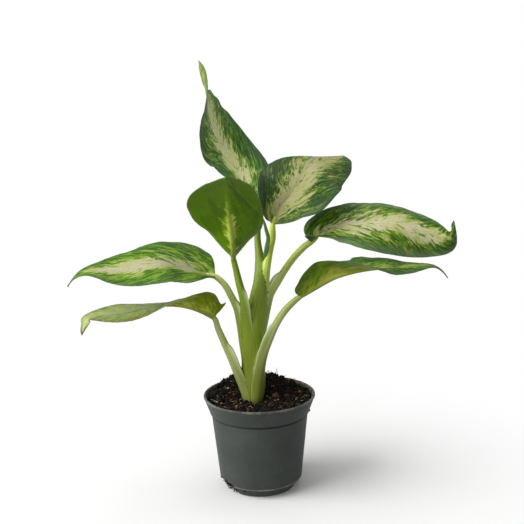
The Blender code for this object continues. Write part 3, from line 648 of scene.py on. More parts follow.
def stalk_material(name, seed, tint):
    n = Nodes(name)
    uv = n.uv("run")
    w = n.attr("wing")
    g = n.attr("groove")
    hz = n.attr("height")
    lo, mid, hi = (srgb(*c) for c in tint)
    long1 = n.noise(n.mapping(uv, (.30, 9, 1), (seed, seed * .7, 0)), 1.0, 3.0, .55)
    long2 = n.noise(n.mapping(uv, (.9, 40, 1), (seed * 2, seed, 0)), 1.0, 2.0, .5)
    spot = n.noise(n.mapping(uv, (1.4, 3.2, 1), (seed, 0, 2)), 1.0, 3.0, .6)
    base = n.ramp(long1, [(.30, lo), (.50, mid), (.72, hi)], 'LINEAR')
    base = n.mix(n.math('MULTIPLY', n.step(long2, .5, .72), .16), base, hi)
    base = n.mix(n.math('MULTIPLY', n.step(spot, .54, .74), .28), base, lo)
    # the inner stalks melt into one olive column
    if name in ("petiole_top", "petiole_front", "petiole_upper_right", "petiole_right", "petiole_left", "stem_flesh"):
        base = n.mix(n.math('MULTIPLY', n.step(hz, .117, .090), .88), base,
                     n.ramp(long2, [(.35, srgb(114, 135, 22)), (.62, srgb(134, 153, 38))], 'LINEAR'))
    # yellower and darker towards the soil
    base = n.mix(n.math('MULTIPLY', n.step(hz, .092, .056), .74), base, srgb(100, 108, 16))
    stain = n.math('MULTIPLY', n.step(n.math('ADD', hz, n.math('MULTIPLY', spot, .008)), .0565, .0505), .75)
    base = n.mix(stain, base, srgb(92, 74, 36))
    col = n.mix(n.math('MULTIPLY', n.math('MULTIPLY', g, n.step(hz, .070, .095)), .30), base, hi)
    # the sheath's whitish edge: its own pale colour, made paler still as painted light let through it
    col = n.mix(n.math('MULTIPLY', w, .74), col, srgb(204, 214, 176))
    tex = n.noise(n.mapping(uv, (3, 70, 1)), 1.0, 2.0, .5)
    # painted light: the thin edge of the sheath glows faintly, standing in for light let through it
    n.put(n.b.inputs["Emission Color"], srgb(196, 214, 160))
    n.put(n.b.inputs["Emission Strength"], n.math('MULTIPLY', w, .13))
    return n.finish(col, n.math('MULTIPLY_ADD', long1, .2, .32), n.bump(tex, .00005, .45),
                    Specular_IOR_Level=0.25)


def loft(name, P, T, prof, mats, uv=None, attrs=None, caps=True):
    """Closed loft of rings prof (rings, sides, 3)."""
    nr, ns = prof.shape[:2]
    verts = prof.reshape(-1, 3)
    idx = np.arange(nr * ns).reshape(nr, ns)
    a, b = idx[:-1], idx[1:]
    F = np.stack([a, np.roll(a, -1, 1), np.roll(b, -1, 1), b], -1).reshape(-1, 4).tolist()
    c0, c1 = len(verts), len(verts) + 1
    verts = np.concatenate([verts, prof[0].mean(0)[None], prof[-1].mean(0)[None]])
    for k in range(ns):
        k2 = (k + 1) % ns
        F.append([c0, int(idx[0, k2]), int(idx[0, k])])
        F.append([c1, int(idx[-1, k]), int(idx[-1, k2])])
    ob = new_object(name, verts, F, mats)
    if uv is not None:
        U = np.concatenate([uv.reshape(-1, 2), uv[0].mean(0)[None], uv[-1].mean(0)[None]])
        vert_uv(ob.data, "run", U)
    for k, vals in (attrs or {}).items():
        vert_attr(ob.data, k, np.concatenate([vals.reshape(-1), [vals[0].mean()], [vals[-1].mean()]]))
    return ob


def ring_frames(S, rings, ref):
    S = np.asarray(S, float)
    c = np.r_[0, np.cumsum(np.linalg.norm(np.diff(S[:, :3], axis=0), axis=1))]
    t = np.linspace(0, c[-1], rings)
    Q = hermite(c, S, t)
    P, rad = Q[:, :3], Q[:, 3:]
    T = np.gradient(P, axis=0)
    T /= np.linalg.norm(T, axis=1)[:, None]
    ref = np.asarray(ref, float)
    A = ref[None] - (T @ ref)[:, None] * T
    A /= np.linalg.norm(A, axis=1)[:, None]
    return t, P, rad, T, A, np.cross(T, A)


# spheres along every stalk and the stem, to blend them where they meet
STEM = [(-1.5, 0, 31, 3.6, 3.6), (-2.2, 0, 42, 4.6, 4.6), (-2.9, 0, 50, 5.0, 4.8),
        (-2.9, 0, 63, 4.8, 4.5), (-3, 0, 78, 4.8, 4.4), (-2.4, 0, 89, 4.5, 4.2),
        (-1.0, 0.5, 99.5, 3.6, 3.5), (0.2, 1.2, 106, 2.6, 2.6)]
CORES = {}
for key, k_ in list(STALKS.items()) + [("stem", dict(path=[q[:4] for q in STEM]))]:
    S_ = np.asarray(k_["path"], float)
    c_ = np.r_[0, np.cumsum(np.linalg.norm(np.diff(S_[:, :3], axis=0), axis=1))]
    CORES[key] = hermite(c_, S_, np.linspace(0, c_[-1], 64))


def blended(prof, own, k=1.15):
    """Push the surface out to the fillet it shares with its neighbours,
    except where it is buried in one of them."""
    X = prof.reshape(-1, 3).copy()

    def dist(Y):
        return {key: np.min(np.linalg.norm(Y[:, None] - q[None, :, :3], axis=2) - q[None, :, 3], axis=1)
                for key, q in CORES.items()}

    def field(Y):
        return -k * np.log(sum(np.exp(-np.clip(v, -12, 12) / k) for v in dist(Y).values()))

    D = dist(X)
    other = np.min([v for key, v in D.items() if key != own], axis=0)
    fade = smooth(-1.6, -.1, other)
    todo = np.where((fade > 0) & (other < 4))[0]
    Y = X[todo].copy()
    for _ in range(2):
        F = field(Y)
        g = np.stack([(field(Y + h) - F) / .05 for h in np.eye(3) * .05], -1)
        g /= np.maximum((g**2).sum(1), .25)[:, None]
        Y = Y - np.minimum(F, 0)[:, None] * g
    X[todo] += (Y - X[todo]) * fade[todo, None]
    return X.reshape(prof.shape)


def make_stalk(name, seed):
    k = STALKS[name]
    mid = np.asarray(LEAVES[name]["mid"], float)
    base = mid[0]
    d = (mid[1] - mid[0]) / np.linalg.norm(mid[1] - mid[0])
    path = list(k["path"]) + [tuple(base + d * .3) + (1.35,), tuple(base + d * 4.5) + (.75,)]
    t, P, rad, T, A, B = ring_frames(path, 110, k["wing"])
    dense = np.linspace(-1.25, 1.25, 43)
    rest = np.linspace(1.25, 2 * math.pi - 1.25, 24)[1:-1]
    th = np.r_[dense, rest]
    TH = th[None]
    w = (TH + math.pi) % (2 * math.pi) - math.pi
    z = P[:, 2]
    i_tip = int(np.argmin(np.abs(z - k["tip"])))
    s_tip = t[i_tip]
    x = np.clip((s_tip - t) / 3.0, 0, None)
    on = (1 - np.exp(-x**1.6))[:, None]
    f = np.clip(t / s_tip, 0, 1)[:, None]
    rise = (k["rise"][0] * (1 - f) + k["rise"][1] * f) * on
    r = rad[:, :1]
    ripple = 1 + .05 * np.sin(t / 3.1 + seed)[:, None] + .03 * np.sin(t / 1.33 + 2 * seed)[:, None]
    crest = np.exp(-((np.abs(w) - .78) / .16)**2)
    wing = .38 * crest + .62 * np.exp(-((np.abs(w) - .78) / .42)**2)
    groove = np.exp(-(w / .42)**2)
    R = r * (1 - .20 * groove * on) + rise * ripple * wing
    R = R * (1 + .007 * np.sin(9 * TH + seed) + .004 * np.sin(17 * TH + 2 * seed + t[:, None] * .1))
    # slow unevenness along the stalk
    R = R * (1 + .03 * (fbm(t[:, None] / 7, TH * .8, 0, seed, 2) - .5))
    prof = (P[:, None] + A[:, None] * (R * np.cos(TH))[..., None]
            + B[:, None] * (R * np.sin(TH))[..., None])
    prof = blended(prof, name)
    uv = np.stack([np.repeat(t[:, None] / 10, len(th), 1), np.repeat((w / (2 * math.pi) + .5), len(t), 0)], -1)
    # palest at the free edge and over the lobe where the sheath ends
    near = np.exp(-(np.clip(s_tip - t, 0, None) / 9.0)**1.5)[:, None] * on
    wa = np.clip(crest * (f**1.5) * on + near * np.exp(-((np.abs(w) - .6) / .75)**4) * .75, 0, 1)
    ob = loft("petiole_skin_" + name, P, T, prof, [stalk_material("petiole_" + name, float(seed), k["tint"])], uv,
              {"wing": wa, "groove": groove * on * np.ones_like(R), "height": prof[..., 2] * MM})
    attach(ob, "root")
    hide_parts("petiole_" + name)
    return ob


for n_, stalk_name in enumerate(STALKS):
    make_stalk(stalk_name, 5 + 7 * n_)

# ---------------------------------------------------------------------- stem
t_, P_, rad_, T_, A_, B_ = ring_frames(STEM, 90, (1, 0, 0))
th_ = np.linspace(0, 2 * math.pi, 64, endpoint=False)[None]
lump = 1 + .05 * np.cos(3 * th_ + t_[:, None] * .05) + .03 * np.sin(11 * th_) + .04 * (
    fbm(t_[:, None] / 9, np.cos(th_) * 2 + 5, np.sin(th_) * 2 + 5, 3, 2) - .5)
prof_ = (P_[:, None] + A_[:, None] * (rad_[:, :1] * lump * np.cos(th_))[..., None]
         + B_[:, None] * (rad_[:, 1:2] * lump * np.sin(th_))[..., None])
prof_ = blended(prof_, "stem")
uv_ = np.stack([np.repeat(t_[:, None] / 10, 64, 1), np.repeat(th_ / (2 * math.pi), len(t_), 0)], -1)
stem = loft("stem_skin", P_, T_, prof_, [stalk_material("stem_flesh", 91.0, ((92, 118, 26), (112, 134, 34), (134, 152, 50)))], uv_,
            {"wing": np.zeros(prof_.shape[:2]), "groove": .35 * np.ones(prof_.shape[:2]),
             "height": prof_[..., 2] * MM})
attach(stem, "root")
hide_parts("stem")

# --------------------------------------------------------- rolled new leaf
SPEAR = [(2.0, 4.5, 104, 1.3), (3.0, 5.0, 113, 1.25), (4.2, 5.2, 119.5, 1.2), (4.9, 2.8, 125, 1.15), (5.6, .2, 130.5, 1.05),
         (6.5, -2, 135.5, .98), (5.5, -2, 140, .85), (4.5, -2.5, 144, .6), (4, -2.5, 146, .28)]
t_, P_, rad_, T_, A_, B_ = ring_frames(SPEAR, 80, (0, -1, 0))
th_ = np.linspace(0, 2 * math.pi, 40, endpoint=False)[None]
# a rolled sheet: the radius steps where the outer edge ends, and the step winds up the spear
turn = (th_ - t_[:, None] * .13) % (2 * math.pi)
roll_ = 1 + .16 * (1 - turn / (2 * math.pi)) - .04
prof_ = (P_[:, None] + A_[:, None] * (rad_[:, :1] * roll_ * np.cos(th_))[..., None]
         + B_[:, None] * (rad_[:, :1] * roll_ * np.sin(th_))[..., None])
uv_ = np.stack([np.repeat(t_[:, None] / 10, 40, 1), turn / (2 * math.pi)], -1)
n = Nodes("new_leaf")
uvn = n.uv("run")
a = n.noise(n.mapping(uvn, (1.2, 9, 1)), 1.0, 3.0, .6)
c = n.ramp(a, [(.3, srgb(42, 80, 36)), (.5, srgb(70, 112, 50)), (.7, srgb(128, 160, 84))], 'LINEAR')
spear = loft("new_leaf_roll", P_, T_, prof_,
             [n.finish(c, .38, n.bump(n.noise(n.mapping(uvn, (2, 40, 1)), 1.0, 2.0), .00005, .4))], uv_)
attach(spear, "root")
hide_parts("new_leaf_spear")

# ======================================================================= pot
POT_H, LIP_R, LIP_T = 51.0, 30.0, 1.0
COLLAR_TOP_R, COLLAR_LOW_R, COLLAR_LOW_Z = 29.6, 26.8, 42.0
BODY_TOP_R, BODY_TOP_Z, BODY_LOW_R, BODY_LOW_Z = 25.84, 39.7, 22.24, 5.2
FOOT_TOP_R, FOOT_R, WALL, FLOOR_T = 20.6, 18.64, 1.0, 1.2
NOTCH_AZ, NOTCH_W, NOTCH_TOP = (211.0, 31.0), 14.0, 6.5
HOLE_D, HOLE_RING_R, HOLE_N = 5.0, 12.0, 6

outer = [(FOOT_R - .9, 0.0), (FOOT_R - .35, 0.02), (FOOT_R - .08, .15), (FOOT_R + .02, .4)]
outer += [(FOOT_R + (FOOT_TOP_R - FOOT_R) * f, .4 + (BODY_LOW_Z - 1.35) * f) for f in (.25, .5, .75, .95)]
outer += [(FOOT_TOP_R - .02, BODY_LOW_Z - .72), (FOOT_TOP_R + .1, BODY_LOW_Z - .62), (BODY_LOW_R - .45, BODY_LOW_Z - .52),
          (BODY_LOW_R - .15, BODY_LOW_Z - .40), (BODY_LOW_R - .02, BODY_LOW_Z - .12), (BODY_LOW_R + .01, BODY_LOW_Z + .12)]
outer += [(BODY_LOW_R + (BODY_TOP_R - BODY_LOW_R) * f, BODY_LOW_Z + (BODY_TOP_Z - BODY_LOW_Z) * f)
          for f in np.linspace(.03, .985, 26)]
outer += [(BODY_TOP_R + .02, BODY_TOP_Z + .1), (BODY_TOP_R - .02, BODY_TOP_Z + .8), (BODY_TOP_R - .22, BODY_TOP_Z + 1.3),
          (BODY_TOP_R - .26, BODY_TOP_Z + 1.72), (BODY_TOP_R + .10, BODY_TOP_Z + 1.80),
          (COLLAR_LOW_R - .22, COLLAR_LOW_Z - .48), (COLLAR_LOW_R - .05, COLLAR_LOW_Z - .36),
          (COLLAR_LOW_R + .03, COLLAR_LOW_Z - .12), (COLLAR_LOW_R + .07, COLLAR_LOW_Z + .2)]
outer += [(COLLAR_LOW_R + (COLLAR_TOP_R - COLLAR_LOW_R) * f, COLLAR_LOW_Z + (POT_H - LIP_T - .45 - COLLAR_LOW_Z) * f)
          for f in np.linspace(.08, .97, 12)]
outer += [(COLLAR_TOP_R - .02, POT_H - LIP_T - .38), (COLLAR_TOP_R + .1, POT_H - LIP_T - .2),
          (LIP_R - .12, POT_H - LIP_T - .05), (LIP_R, POT_H - LIP_T + .15), (LIP_R, POT_H - .42),
          (LIP_R - .1, POT_H - .16), (LIP_R - .32, POT_H)]
inner = [(LIP_R - .8, POT_H + .0), (LIP_R - 1.0, POT_H - .05), (LIP_R - 1.2, POT_H - .25), (LIP_R - 1.35, POT_H - .7)]
inner += [(LIP_R - 1.5 + (COLLAR_LOW_R - WALL - LIP_R + 1.5) * f, POT_H - .9 + (COLLAR_LOW_Z + 1.1 - POT_H) * f)
          for f in (.2, .4, .6, .8, 1)]
inner += [(BODY_TOP_R - WALL, BODY_TOP_Z - .2), (BODY_LOW_R - WALL, BODY_LOW_Z + .7),
          (FOOT_TOP_R - WALL + .1, BODY_LOW_Z - .2), (FOOT_R - WALL, FLOOR_T), (9.0, FLOOR_T), (.6, FLOOR_T)]
under = [(.6, 0.0), (9.0, 0.0), (15.0, 0.0)]
prof = outer + inner + under
STEPS = 192
ph = np.linspace(0, 2 * math.pi, STEPS, endpoint=False)
rz = np.array(prof)
# the moulding isn't quite round
wob = 1 + .0016 * np.cos(2 * ph + .4) + .0008 * np.cos(3 * ph)
PV = np.stack([rz[:, 0][:, None] * np.cos(ph) * wob, rz[:, 0][:, None] * np.sin(ph) * wob,
               np.repeat(rz[:, 1][:, None], STEPS, 1)], -1)
m_ = len(prof)
idx = np.arange(m_ * STEPS).reshape(m_, STEPS)
F = []
for i in range(m_):
    if i == len(outer) + len(inner) - 1:
        continue                          # the floor's two middles are closed below
    a, b = idx[i], idx[(i + 1) % m_]
    F += np.stack([a, np.roll(a, -1), np.roll(b, -1), b], -1).tolist()
i0, i1 = len(outer) + len(inner) - 1, len(outer) + len(inner)
pv = PV.reshape(-1, 3)
pv = np.concatenate([pv, [[0, 0, FLOOR_T]], [[0, 0, 0]]])
ct, cb = len(pv) - 2, len(pv) - 1
for k in range(STEPS):
    k2 = (k + 1) % STEPS
    F.append([int(idx[i0, k]), int(idx[i0, k2]), ct])
    F.append([int(idx[i1, k2]), int(idx[i1, k]), cb])


def pot_material():
    n = Nodes("pot_plastic")
    co = n.coord()
    xyz = n.split(co)
    z = xyz[2]
    r = n.math('SQRT', n.math('ADD', n.math('MULTIPLY', xyz[0], xyz[0]), n.math('MULTIPLY', xyz[1], xyz[1])))
    cloud = n.noise(co, 55, 4.0, .6)
    grain = n.noise(co, 1400, 2.0, .6)
    streak = n.noise(n.mapping(co, (90, 90, 12)), 1.0, 3.0, .6)
    col = n.ramp(cloud, [(.3, srgb(57, 62, 59)), (.5, srgb(63, 68, 65)), (.7, srgb(70, 75, 71))], 'LINEAR')
    col = n.mix(n.math('MULTIPLY', n.step(streak, .58, .74), .14), col, srgb(94, 97, 92))
    # dust and dried splashes
    dust = n.step(n.noise(co, 420, 3.0, .7), .62, .74)
    col = n.mix(n.math('MULTIPLY', dust, .16), col, srgb(120, 122, 112))
    speck = n.step(n.noise(co, 900, 1.0, .5), .72, .76)
    col = n.mix(n.math('MULTIPLY', speck, .7), col, srgb(36, 32, 26))
    # smudges of dried soil, mostly low down and under the collar
    smear = n.noise(n.mapping(co, (120, 120, 260)), 1.0, 4.0, .7, .6)
    low = n.math('MAXIMUM', n.step(z, .016, .004), n.math('MULTIPLY', n.step(z, .034, .040), n.step(z, .050, .042)))
    col = n.mix(n.math('MULTIPLY', n.math('MULTIPLY', n.step(smear, .56, .70), low), .55), col, srgb(84, 74, 58))
    # paler lip and foot edge, patchy by a wear noise; on the lip the paleness is painted highlight as well as wear
    lip = n.step(z, .0498, .0503)
    wear = n.step(n.noise(co, 160, 3.0, .6), .46, .60)
    col = n.mix(n.math('MULTIPLY', lip, n.math('MULTIPLY_ADD', wear, .6, .05)), col, srgb(120, 120, 106))
    # painted highlight: the lip paler still on its left and right sides
    sides = n.step(n.math('DIVIDE', n.math('ABSOLUTE', xyz[0]), r), .55, .92)
    col = n.mix(n.math('MULTIPLY', lip, n.math('MULTIPLY', sides, .5)), col, srgb(146, 150, 138))
    wall = n.math('SUBTRACT', r, n.math('MULTIPLY_ADD', n.math('SUBTRACT', z, .042), .371, .0268))
    inside = n.math('MULTIPLY', n.step(wall, -.0004, -.0007), n.step(z, .044, .0455))
    col = n.mix(n.math('MULTIPLY', inside, .45), col, srgb(112, 114, 104))
    # painted shade under the collar: a dark band on the body just below it
    collar_shade_band = n.math('MULTIPLY', n.step(z, .0400, .0408), n.step(z, .0419, .0416))
    col = n.mix(n.math('MULTIPLY', collar_shade_band, .85), col, srgb(22, 23, 22))
    foot = n.math('MULTIPLY', n.step(z, .0048, .0051), n.step(z, .0058, .0054))
    foot = n.math('MAXIMUM', foot, n.step(z, .0005, .0002))
    col = n.mix(n.math('MULTIPLY', foot, n.math('MULTIPLY_ADD', wear, .4, .35)), col, srgb(150, 152, 142))
    # soil on the inner wall
    mud = n.math('MULTIPLY', n.step(n.noise(co, 260, 3.0, .7), .50, .60), inside)
    col = n.mix(n.math('MULTIPLY', mud, .8), col, srgb(52, 38, 26))
    rough = n.math('MULTIPLY_ADD', cloud, .2, .48)
    return n.finish(col, rough, n.bump(grain, .00004, .5), Specular_IOR_Level=0.22)


pot = new_object("pot_moulding", pv, F, [pot_material()])
bmx = bmesh.new()
bmx.from_mesh(pot.data)
bmesh.ops.recalc_face_normals(bmx, faces=bmx.faces)
bmx.to_mesh(pot.data)
bmx.free()
cutters = []
for az in NOTCH_AZ:
    bmx = bmesh.new()
    bmesh.ops.create_cube(bmx, size=1.0)
    bmesh.ops.scale(bmx, vec=(8 * MM, NOTCH_W * MM, (NOTCH_TOP + 2) * MM), verts=bmx.verts)
    bmesh.ops.translate(bmx, vec=((17.2 + 4) * MM, 0, (NOTCH_TOP / 2 - 1) * MM), verts=bmx.verts)
    bmesh.ops.bevel(bmx, geom=[e for e in bmx.edges if abs((e.verts[0].co - e.verts[1].co).x) > 4 * MM
                               and max(e.verts[0].co.z, e.verts[1].co.z) > 3 * MM],
                    offset=1.2 * MM, segments=4, profile=.5, affect='EDGES')
    bmesh.ops.rotate(bmx, cent=(0, 0, 0), matrix=Matrix.Rotation(math.radians(az), 3, 'Z'), verts=bmx.verts)
    me = bpy.data.meshes.new("cut")
    bmx.to_mesh(me)
    bmx.free()
    cutters.append(bpy.data.objects.new("cut", me))
for k in range(HOLE_N):
    a = math.radians(NOTCH_AZ[1] + 30 + 60 * k)
    bmx = bmesh.new()
    bmesh.ops.create_cone(bmx, cap_ends=True, segments=40, radius1=HOLE_D / 2 * MM,
                          radius2=HOLE_D / 2 * MM, depth=4 * MM)
    bmesh.ops.translate(bmx, vec=(HOLE_RING_R * math.cos(a) * MM, HOLE_RING_R * math.sin(a) * MM, 0), verts=bmx.verts)
    me = bpy.data.meshes.new("cut")
    bmx.to_mesh(me)
    bmx.free()
    cutters.append(bpy.data.objects.new("cut", me))
for c in cutters:
    bpy.context.scene.collection.objects.link(c)
    md = pot.modifiers.new("cut", 'BOOLEAN')
    md.operation = 'DIFFERENCE'
    md.solver = 'EXACT'
    md.object = c
bpy.context.view_layer.update()
dg = bpy.context.evaluated_depsgraph_get()
me = bpy.data.meshes.new_from_object(pot.evaluated_get(dg))
pot.modifiers.clear()
pot.data = me
for c in cutters:
    bpy.data.objects.remove(c)
me.shade_smooth()
me.set_sharp_from_angle(angle=math.radians(14))
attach(pot, "root")
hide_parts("pot")

# ====================================================================== soil
SOIL_EDGE_Z, SOIL_HEAP = 48.4, 8.0
HEAP_X, HEAP_Y, HEAP_SX, HEAP_SY = -2.0, 15.5, 14.0, 8.5


def soil_top(x, y):
    r = np.hypot(x, y)
    edge = 1 - np.clip((r - 20) / 7.6, 0, 1)**2
    return SOIL_EDGE_Z + SOIL_HEAP * edge * np.exp(
        -((x - HEAP_X) / HEAP_SX)**2 / 2 - ((y - HEAP_Y) / HEAP_SY)**2 / 2) + 2.2 * edge * np.exp(
        -((x + 17) / 6)**2 / 2 - ((y - 12) / 6)**2 / 2) - 2.6 * np.exp(
        -((x + 3) / 5.5)**2 / 2 - ((y + 6.5) / 4.5)**2 / 2)


def soil_bumps(x, y):
    return (2.6 * (fbm(x / 5.5 + 9, y / 5.5 + 3, 0, 5, 4) - .5)
            + 1.4 * (fbm(x / 1.8, y / 1.8, 0, 8, 3) - .5))


def soil_material():
    n = Nodes("peat")
    co = n.coord()
    a = n.noise(co, 330, 4.0, .65)
    b = n.noise(co, 90, 3.0, .6)
    col = n.ramp(a, [(.30, srgb(10, 8, 6)), (.46, srgb(20, 14, 10)), (.60, srgb(36, 25, 17)),
                     (.76, srgb(66, 46, 30))], 'LINEAR')
    col = n.mix(n.math('MULTIPLY', n.step(b, .52, .68), .3), col, srgb(58, 36, 22))
    fine = n.noise(co, 1100, 3.0, .7)
    return n.finish(col, .92, n.bump(n.math('ADD', a, fine), .0005, .8), Specular_IOR_Level=0.2)


rr = np.r_[0.01, np.linspace(.5, 27.3, 64)]
na = 200
an = np.linspace(0, 2 * math.pi, na, endpoint=False)
X, Y = rr[:, None] * np.cos(an), rr[:, None] * np.sin(an)
Z = soil_top(X, Y) + soil_bumps(X, Y) * .8
tops = np.stack([X, Y, Z], -1)
side = [(25.45, COLLAR_LOW_Z + 0.2), (24.5, BODY_TOP_Z - 0.3), (20.9, BODY_LOW_Z + 0.9),
        (19.35, BODY_LOW_Z + 0.1), (17.3, FLOOR_T + .3), (9.0, FLOOR_T + .3), (.5, FLOOR_T + .3)]
rows = [tops[i] for i in range(len(rr))]
for r, z in side:
    jitter = .25 * (fbm(np.cos(an) * 6 + 20, np.sin(an) * 6 + 20, z, 4, 3) - .5) if r > 10 else 0 * an
    rows.append(np.stack([(r - .1 + jitter) * np.cos(an), (r - .1 + jitter) * np.sin(an), np.full(na, z)], -1))
rows = np.array(rows)
soil = loft("soil_bed", None, None, rows[::-1], [soil_material()])
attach(soil, "root")
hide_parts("soil")


def crumb_material():
    n = Nodes("peat_crumbs")
    tone = n.attr("tone")
    co = n.coord()
    a = n.noise(co, 700, 3.0, .65)
    col = n.ramp(tone, [(0.0, srgb(8, 6, 5)), (.30, srgb(18, 13, 9)), (.50, srgb(44, 28, 18)),
                        (.68, srgb(96, 58, 30)), (.86, srgb(156, 112, 70)), (1.0, srgb(204, 180, 144))], 'LINEAR')
    col = n.mix(n.math('MULTIPLY', n.step(a, .42, .72), .35), col, srgb(18, 13, 9))
    return n.finish(col, .9, n.bump(a, .0003, .7), Specular_IOR_Level=0.25)


crumb_mat = crumb_material()
ICO = []
bmx = bmesh.new()
bmesh.ops.create_icosphere(bmx, subdivisions=1, radius=1.0)
ico_v = np.array([tuple(v.co) for v in bmx.verts])
ico_f = np.array([[v.index for v in f.verts] for f in bmx.faces])
bmx.free()
rng = np.random.default_rng(20)


def rotations(rng, n):
    q = rng.normal(size=(n, 4))
    q /= np.linalg.norm(q, axis=1)[:, None]
    w, x, y, z = q.T
    return np.stack([np.stack([1-2*(y*y+z*z), 2*(x*y-z*w), 2*(x*z+y*w)], -1),
                     np.stack([2*(x*y+z*w), 1-2*(x*x+z*z), 2*(y*z-x*w)], -1),
                     np.stack([2*(x*z-y*w), 2*(y*z+x*w), 1-2*(x*x+y*y)], -1)], 1)


def crumbs(name, centre, size, tone, rng):
    """Many small angular lumps in one object."""
    n = len(centre)
    R = rotations(rng, n)
    stretch = rng.uniform(.55, 1.3, size=(n, 1, 3)) * size[:, None, None]
    jit = 1 + rng.uniform(-.28, .28, size=(n, len(ico_v), 1))
    V = np.einsum('nij,nkj->nki', R, ico_v[None] * jit * stretch) + centre[:, None]
    F = (ico_f[None] + (np.arange(n) * len(ico_v))[:, None, None]).reshape(-1, 3)
    ob = new_object(name, V.reshape(-1, 3), F.tolist(), [crumb_mat], smooth_shade=False)
    vert_attr(ob.data, "tone", np.repeat(tone, len(ico_v)))
    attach(ob, "root")
    return ob


def strew(name, count, mean, spread, lo, hi, tones, seed):
    rng = np.random.default_rng(seed)
    rad = 27.6 * np.sqrt(rng.uniform(0, 1, count))
    ang = rng.uniform(0, 2 * math.pi, count)
    cx, cy = rad * np.cos(ang), rad * np.sin(ang)
    size = np.exp(rng.normal(mean, spread, count)).clip(lo, hi)
    cz = soil_top(cx, cy) + soil_bumps(cx, cy) * .8 + size * rng.uniform(-.2, .7, count)
    keep = np.hypot(cx, cy) + size < 28.2
    tone = rng.beta(tones[0], tones[1], count) * 1.15
    # a rusty patch to the right of the stem, a fibrous one left of it
    tone -= .10
    tone += .24 * np.exp(-((cx - 6) / 4)**2 - ((cy + 3) / 5)**2) + .18 * np.exp(-((cx + 15) / 5)**2 - ((cy + 7) / 5)**2)
    return crumbs(name, np.stack([cx, cy, cz], -1)[keep], size[keep], np.clip(tone[keep], 0, 1), rng)


strew("soil_fine", 5200, -.92, .34, .18, .8, (.75, 2.1), 20)
strew("soil_crumbs", 1700, -.22, .32, .45, 1.6, (.7, 3.4), 21)
strew("soil_clods", 230, .34, .24, 1.0, 2.1, (.8, 6.0), 22)

# a few pale chips and bark pieces where they lie
chips = [(-17, 5, .8, .95), (8.5, -8.0, .9, .9), (-1.5, -10, .7, .92), (-5, -11.5, .7, .88), (-4, -13.5, .8, .85),
         (-18, 12, .8, .9), (-23, 5, .8, .85), (22, 4, .9, .8), (20, 2, .8, .82), (14, -12, .8, .84), (-12, -15, .7, .8),
         (3, 17, .8, .85), (16, 12, .9, .8), (-10, 18, .8, .86), (24, -5, .7, .85), (-20, -10, .8, .82)]
C = np.array([(x, y, float(soil_top(np.array(x * 1.), np.array(y * 1.))) + .7) for x, y, s, t in chips])
crumbs("soil_chips", C, np.array([s for x, y, s, t in chips]), np.array([t for x, y, s, t in chips]), rng)

# crumbs caught in the notch, on the lip and at the collar's edge
rng2 = np.random.default_rng(77)
pos, siz, ton = [], [], []
for _ in range(70):
    a = math.radians(211 + rng2.normal(0, 9))
    z = rng2.uniform(.4, 7.2)
    r = 18.9 + .36 * z + rng2.uniform(-.6, .35)
    if z > 5.4:
        r = 22.3 + rng2.uniform(-.2, .2)
    pos.append((r * math.cos(a), r * math.sin(a), z))
    siz.append(rng2.uniform(.18, .6))
    ton.append(rng2.uniform(.15, .72))
for _ in range(150):
    a = rng2.uniform(0, 2 * math.pi)
    r = rng2.uniform(28.2, 29.7)
    pos.append((r * math.cos(a), r * math.sin(a), 51.0 if r > 28.8 else 50.5))
    siz.append(rng2.uniform(.10, .30))
    ton.append(rng2.uniform(.1, .7))
for da, z, sz in ((-8, 42.1, .8), (-6.5, 41.7, .5), (-10, 42.4, .45), (-7.5, 41.4, .4)):
    a = math.radians(da)
    pos.append((26.9 * math.cos(a), 26.9 * math.sin(a), z))
    siz.append(sz)
    ton.append(.3)
crumbs("stray_crumbs", np.array(pos), np.array(siz), np.array(ton), rng2)

# fibres and rootlets
FV, FF, FT = [], [], []


def fibre(points, r, tone, sides=5):
    P = bspline(points, np.linspace(0, 1, 12)) if len(points) > 3 else np.asarray(points, float)
    T = np.gradient(P, axis=0)
    T /= np.linalg.norm(T, axis=1)[:, None]
    ref = np.array((.3, .5, .8))
    A = np.cross(T, ref)
    A /= np.linalg.norm(A, axis=1)[:, None]
    B = np.cross(T, A)
    a = np.linspace(0, 2 * math.pi, sides, endpoint=False)
    k = len(P)
    rr = r * (1 - .5 * np.linspace(0, 1, k))[:, None, None]
    V = P[:, None] + rr * (A[:, None] * np.cos(a)[None, :, None] + B[:, None] * np.sin(a)[None, :, None])
    o = sum(len(x) for x in FV)
    idx = o + np.arange(k * sides).reshape(k, sides)
    FV.append(V.reshape(-1, 3))
    for i in range(k - 1):
        for j in range(sides):
            j2 = (j + 1) % sides
            FF.append([int(idx[i, j]), int(idx[i, j2]), int(idx[i+1, j2]), int(idx[i+1, j])])
    FF.append([int(x) for x in idx[0][::-1]])
    FF.append([int(x) for x in idx[-1]])
    FT.append(np.full(k * sides, tone))


for _ in range(760):
    x0, y0 = rng.uniform(-26, 26, 2)
    if math.hypot(x0, y0) > 25.5:
        continue
    z0 = float(soil_top(np.array(x0), np.array(y0))) + rng.uniform(.3, .9)
    a = rng.uniform(0, 2 * math.pi)
    ln = rng.uniform(1.5, 5.5)
    lift = rng.uniform(-.3, 1.2)
    pts = [(x0, y0, z0)]
    for k in range(1, 5):
        a += rng.normal(0, .45)
        x1, y1 = pts[-1][0] + math.cos(a) * ln / 4, pts[-1][1] + math.sin(a) * ln / 4
        pts.append((x1, y1, z0 + lift * k / 4 + rng.normal(0, .15)))
    if math.hypot(pts[-1][0], pts[-1][1]) > 27.6:
        continue
    fibre(pts, rng.uniform(.07, .19), rng.choice([.1, .15, .35, .6, .72, .86, .97]))
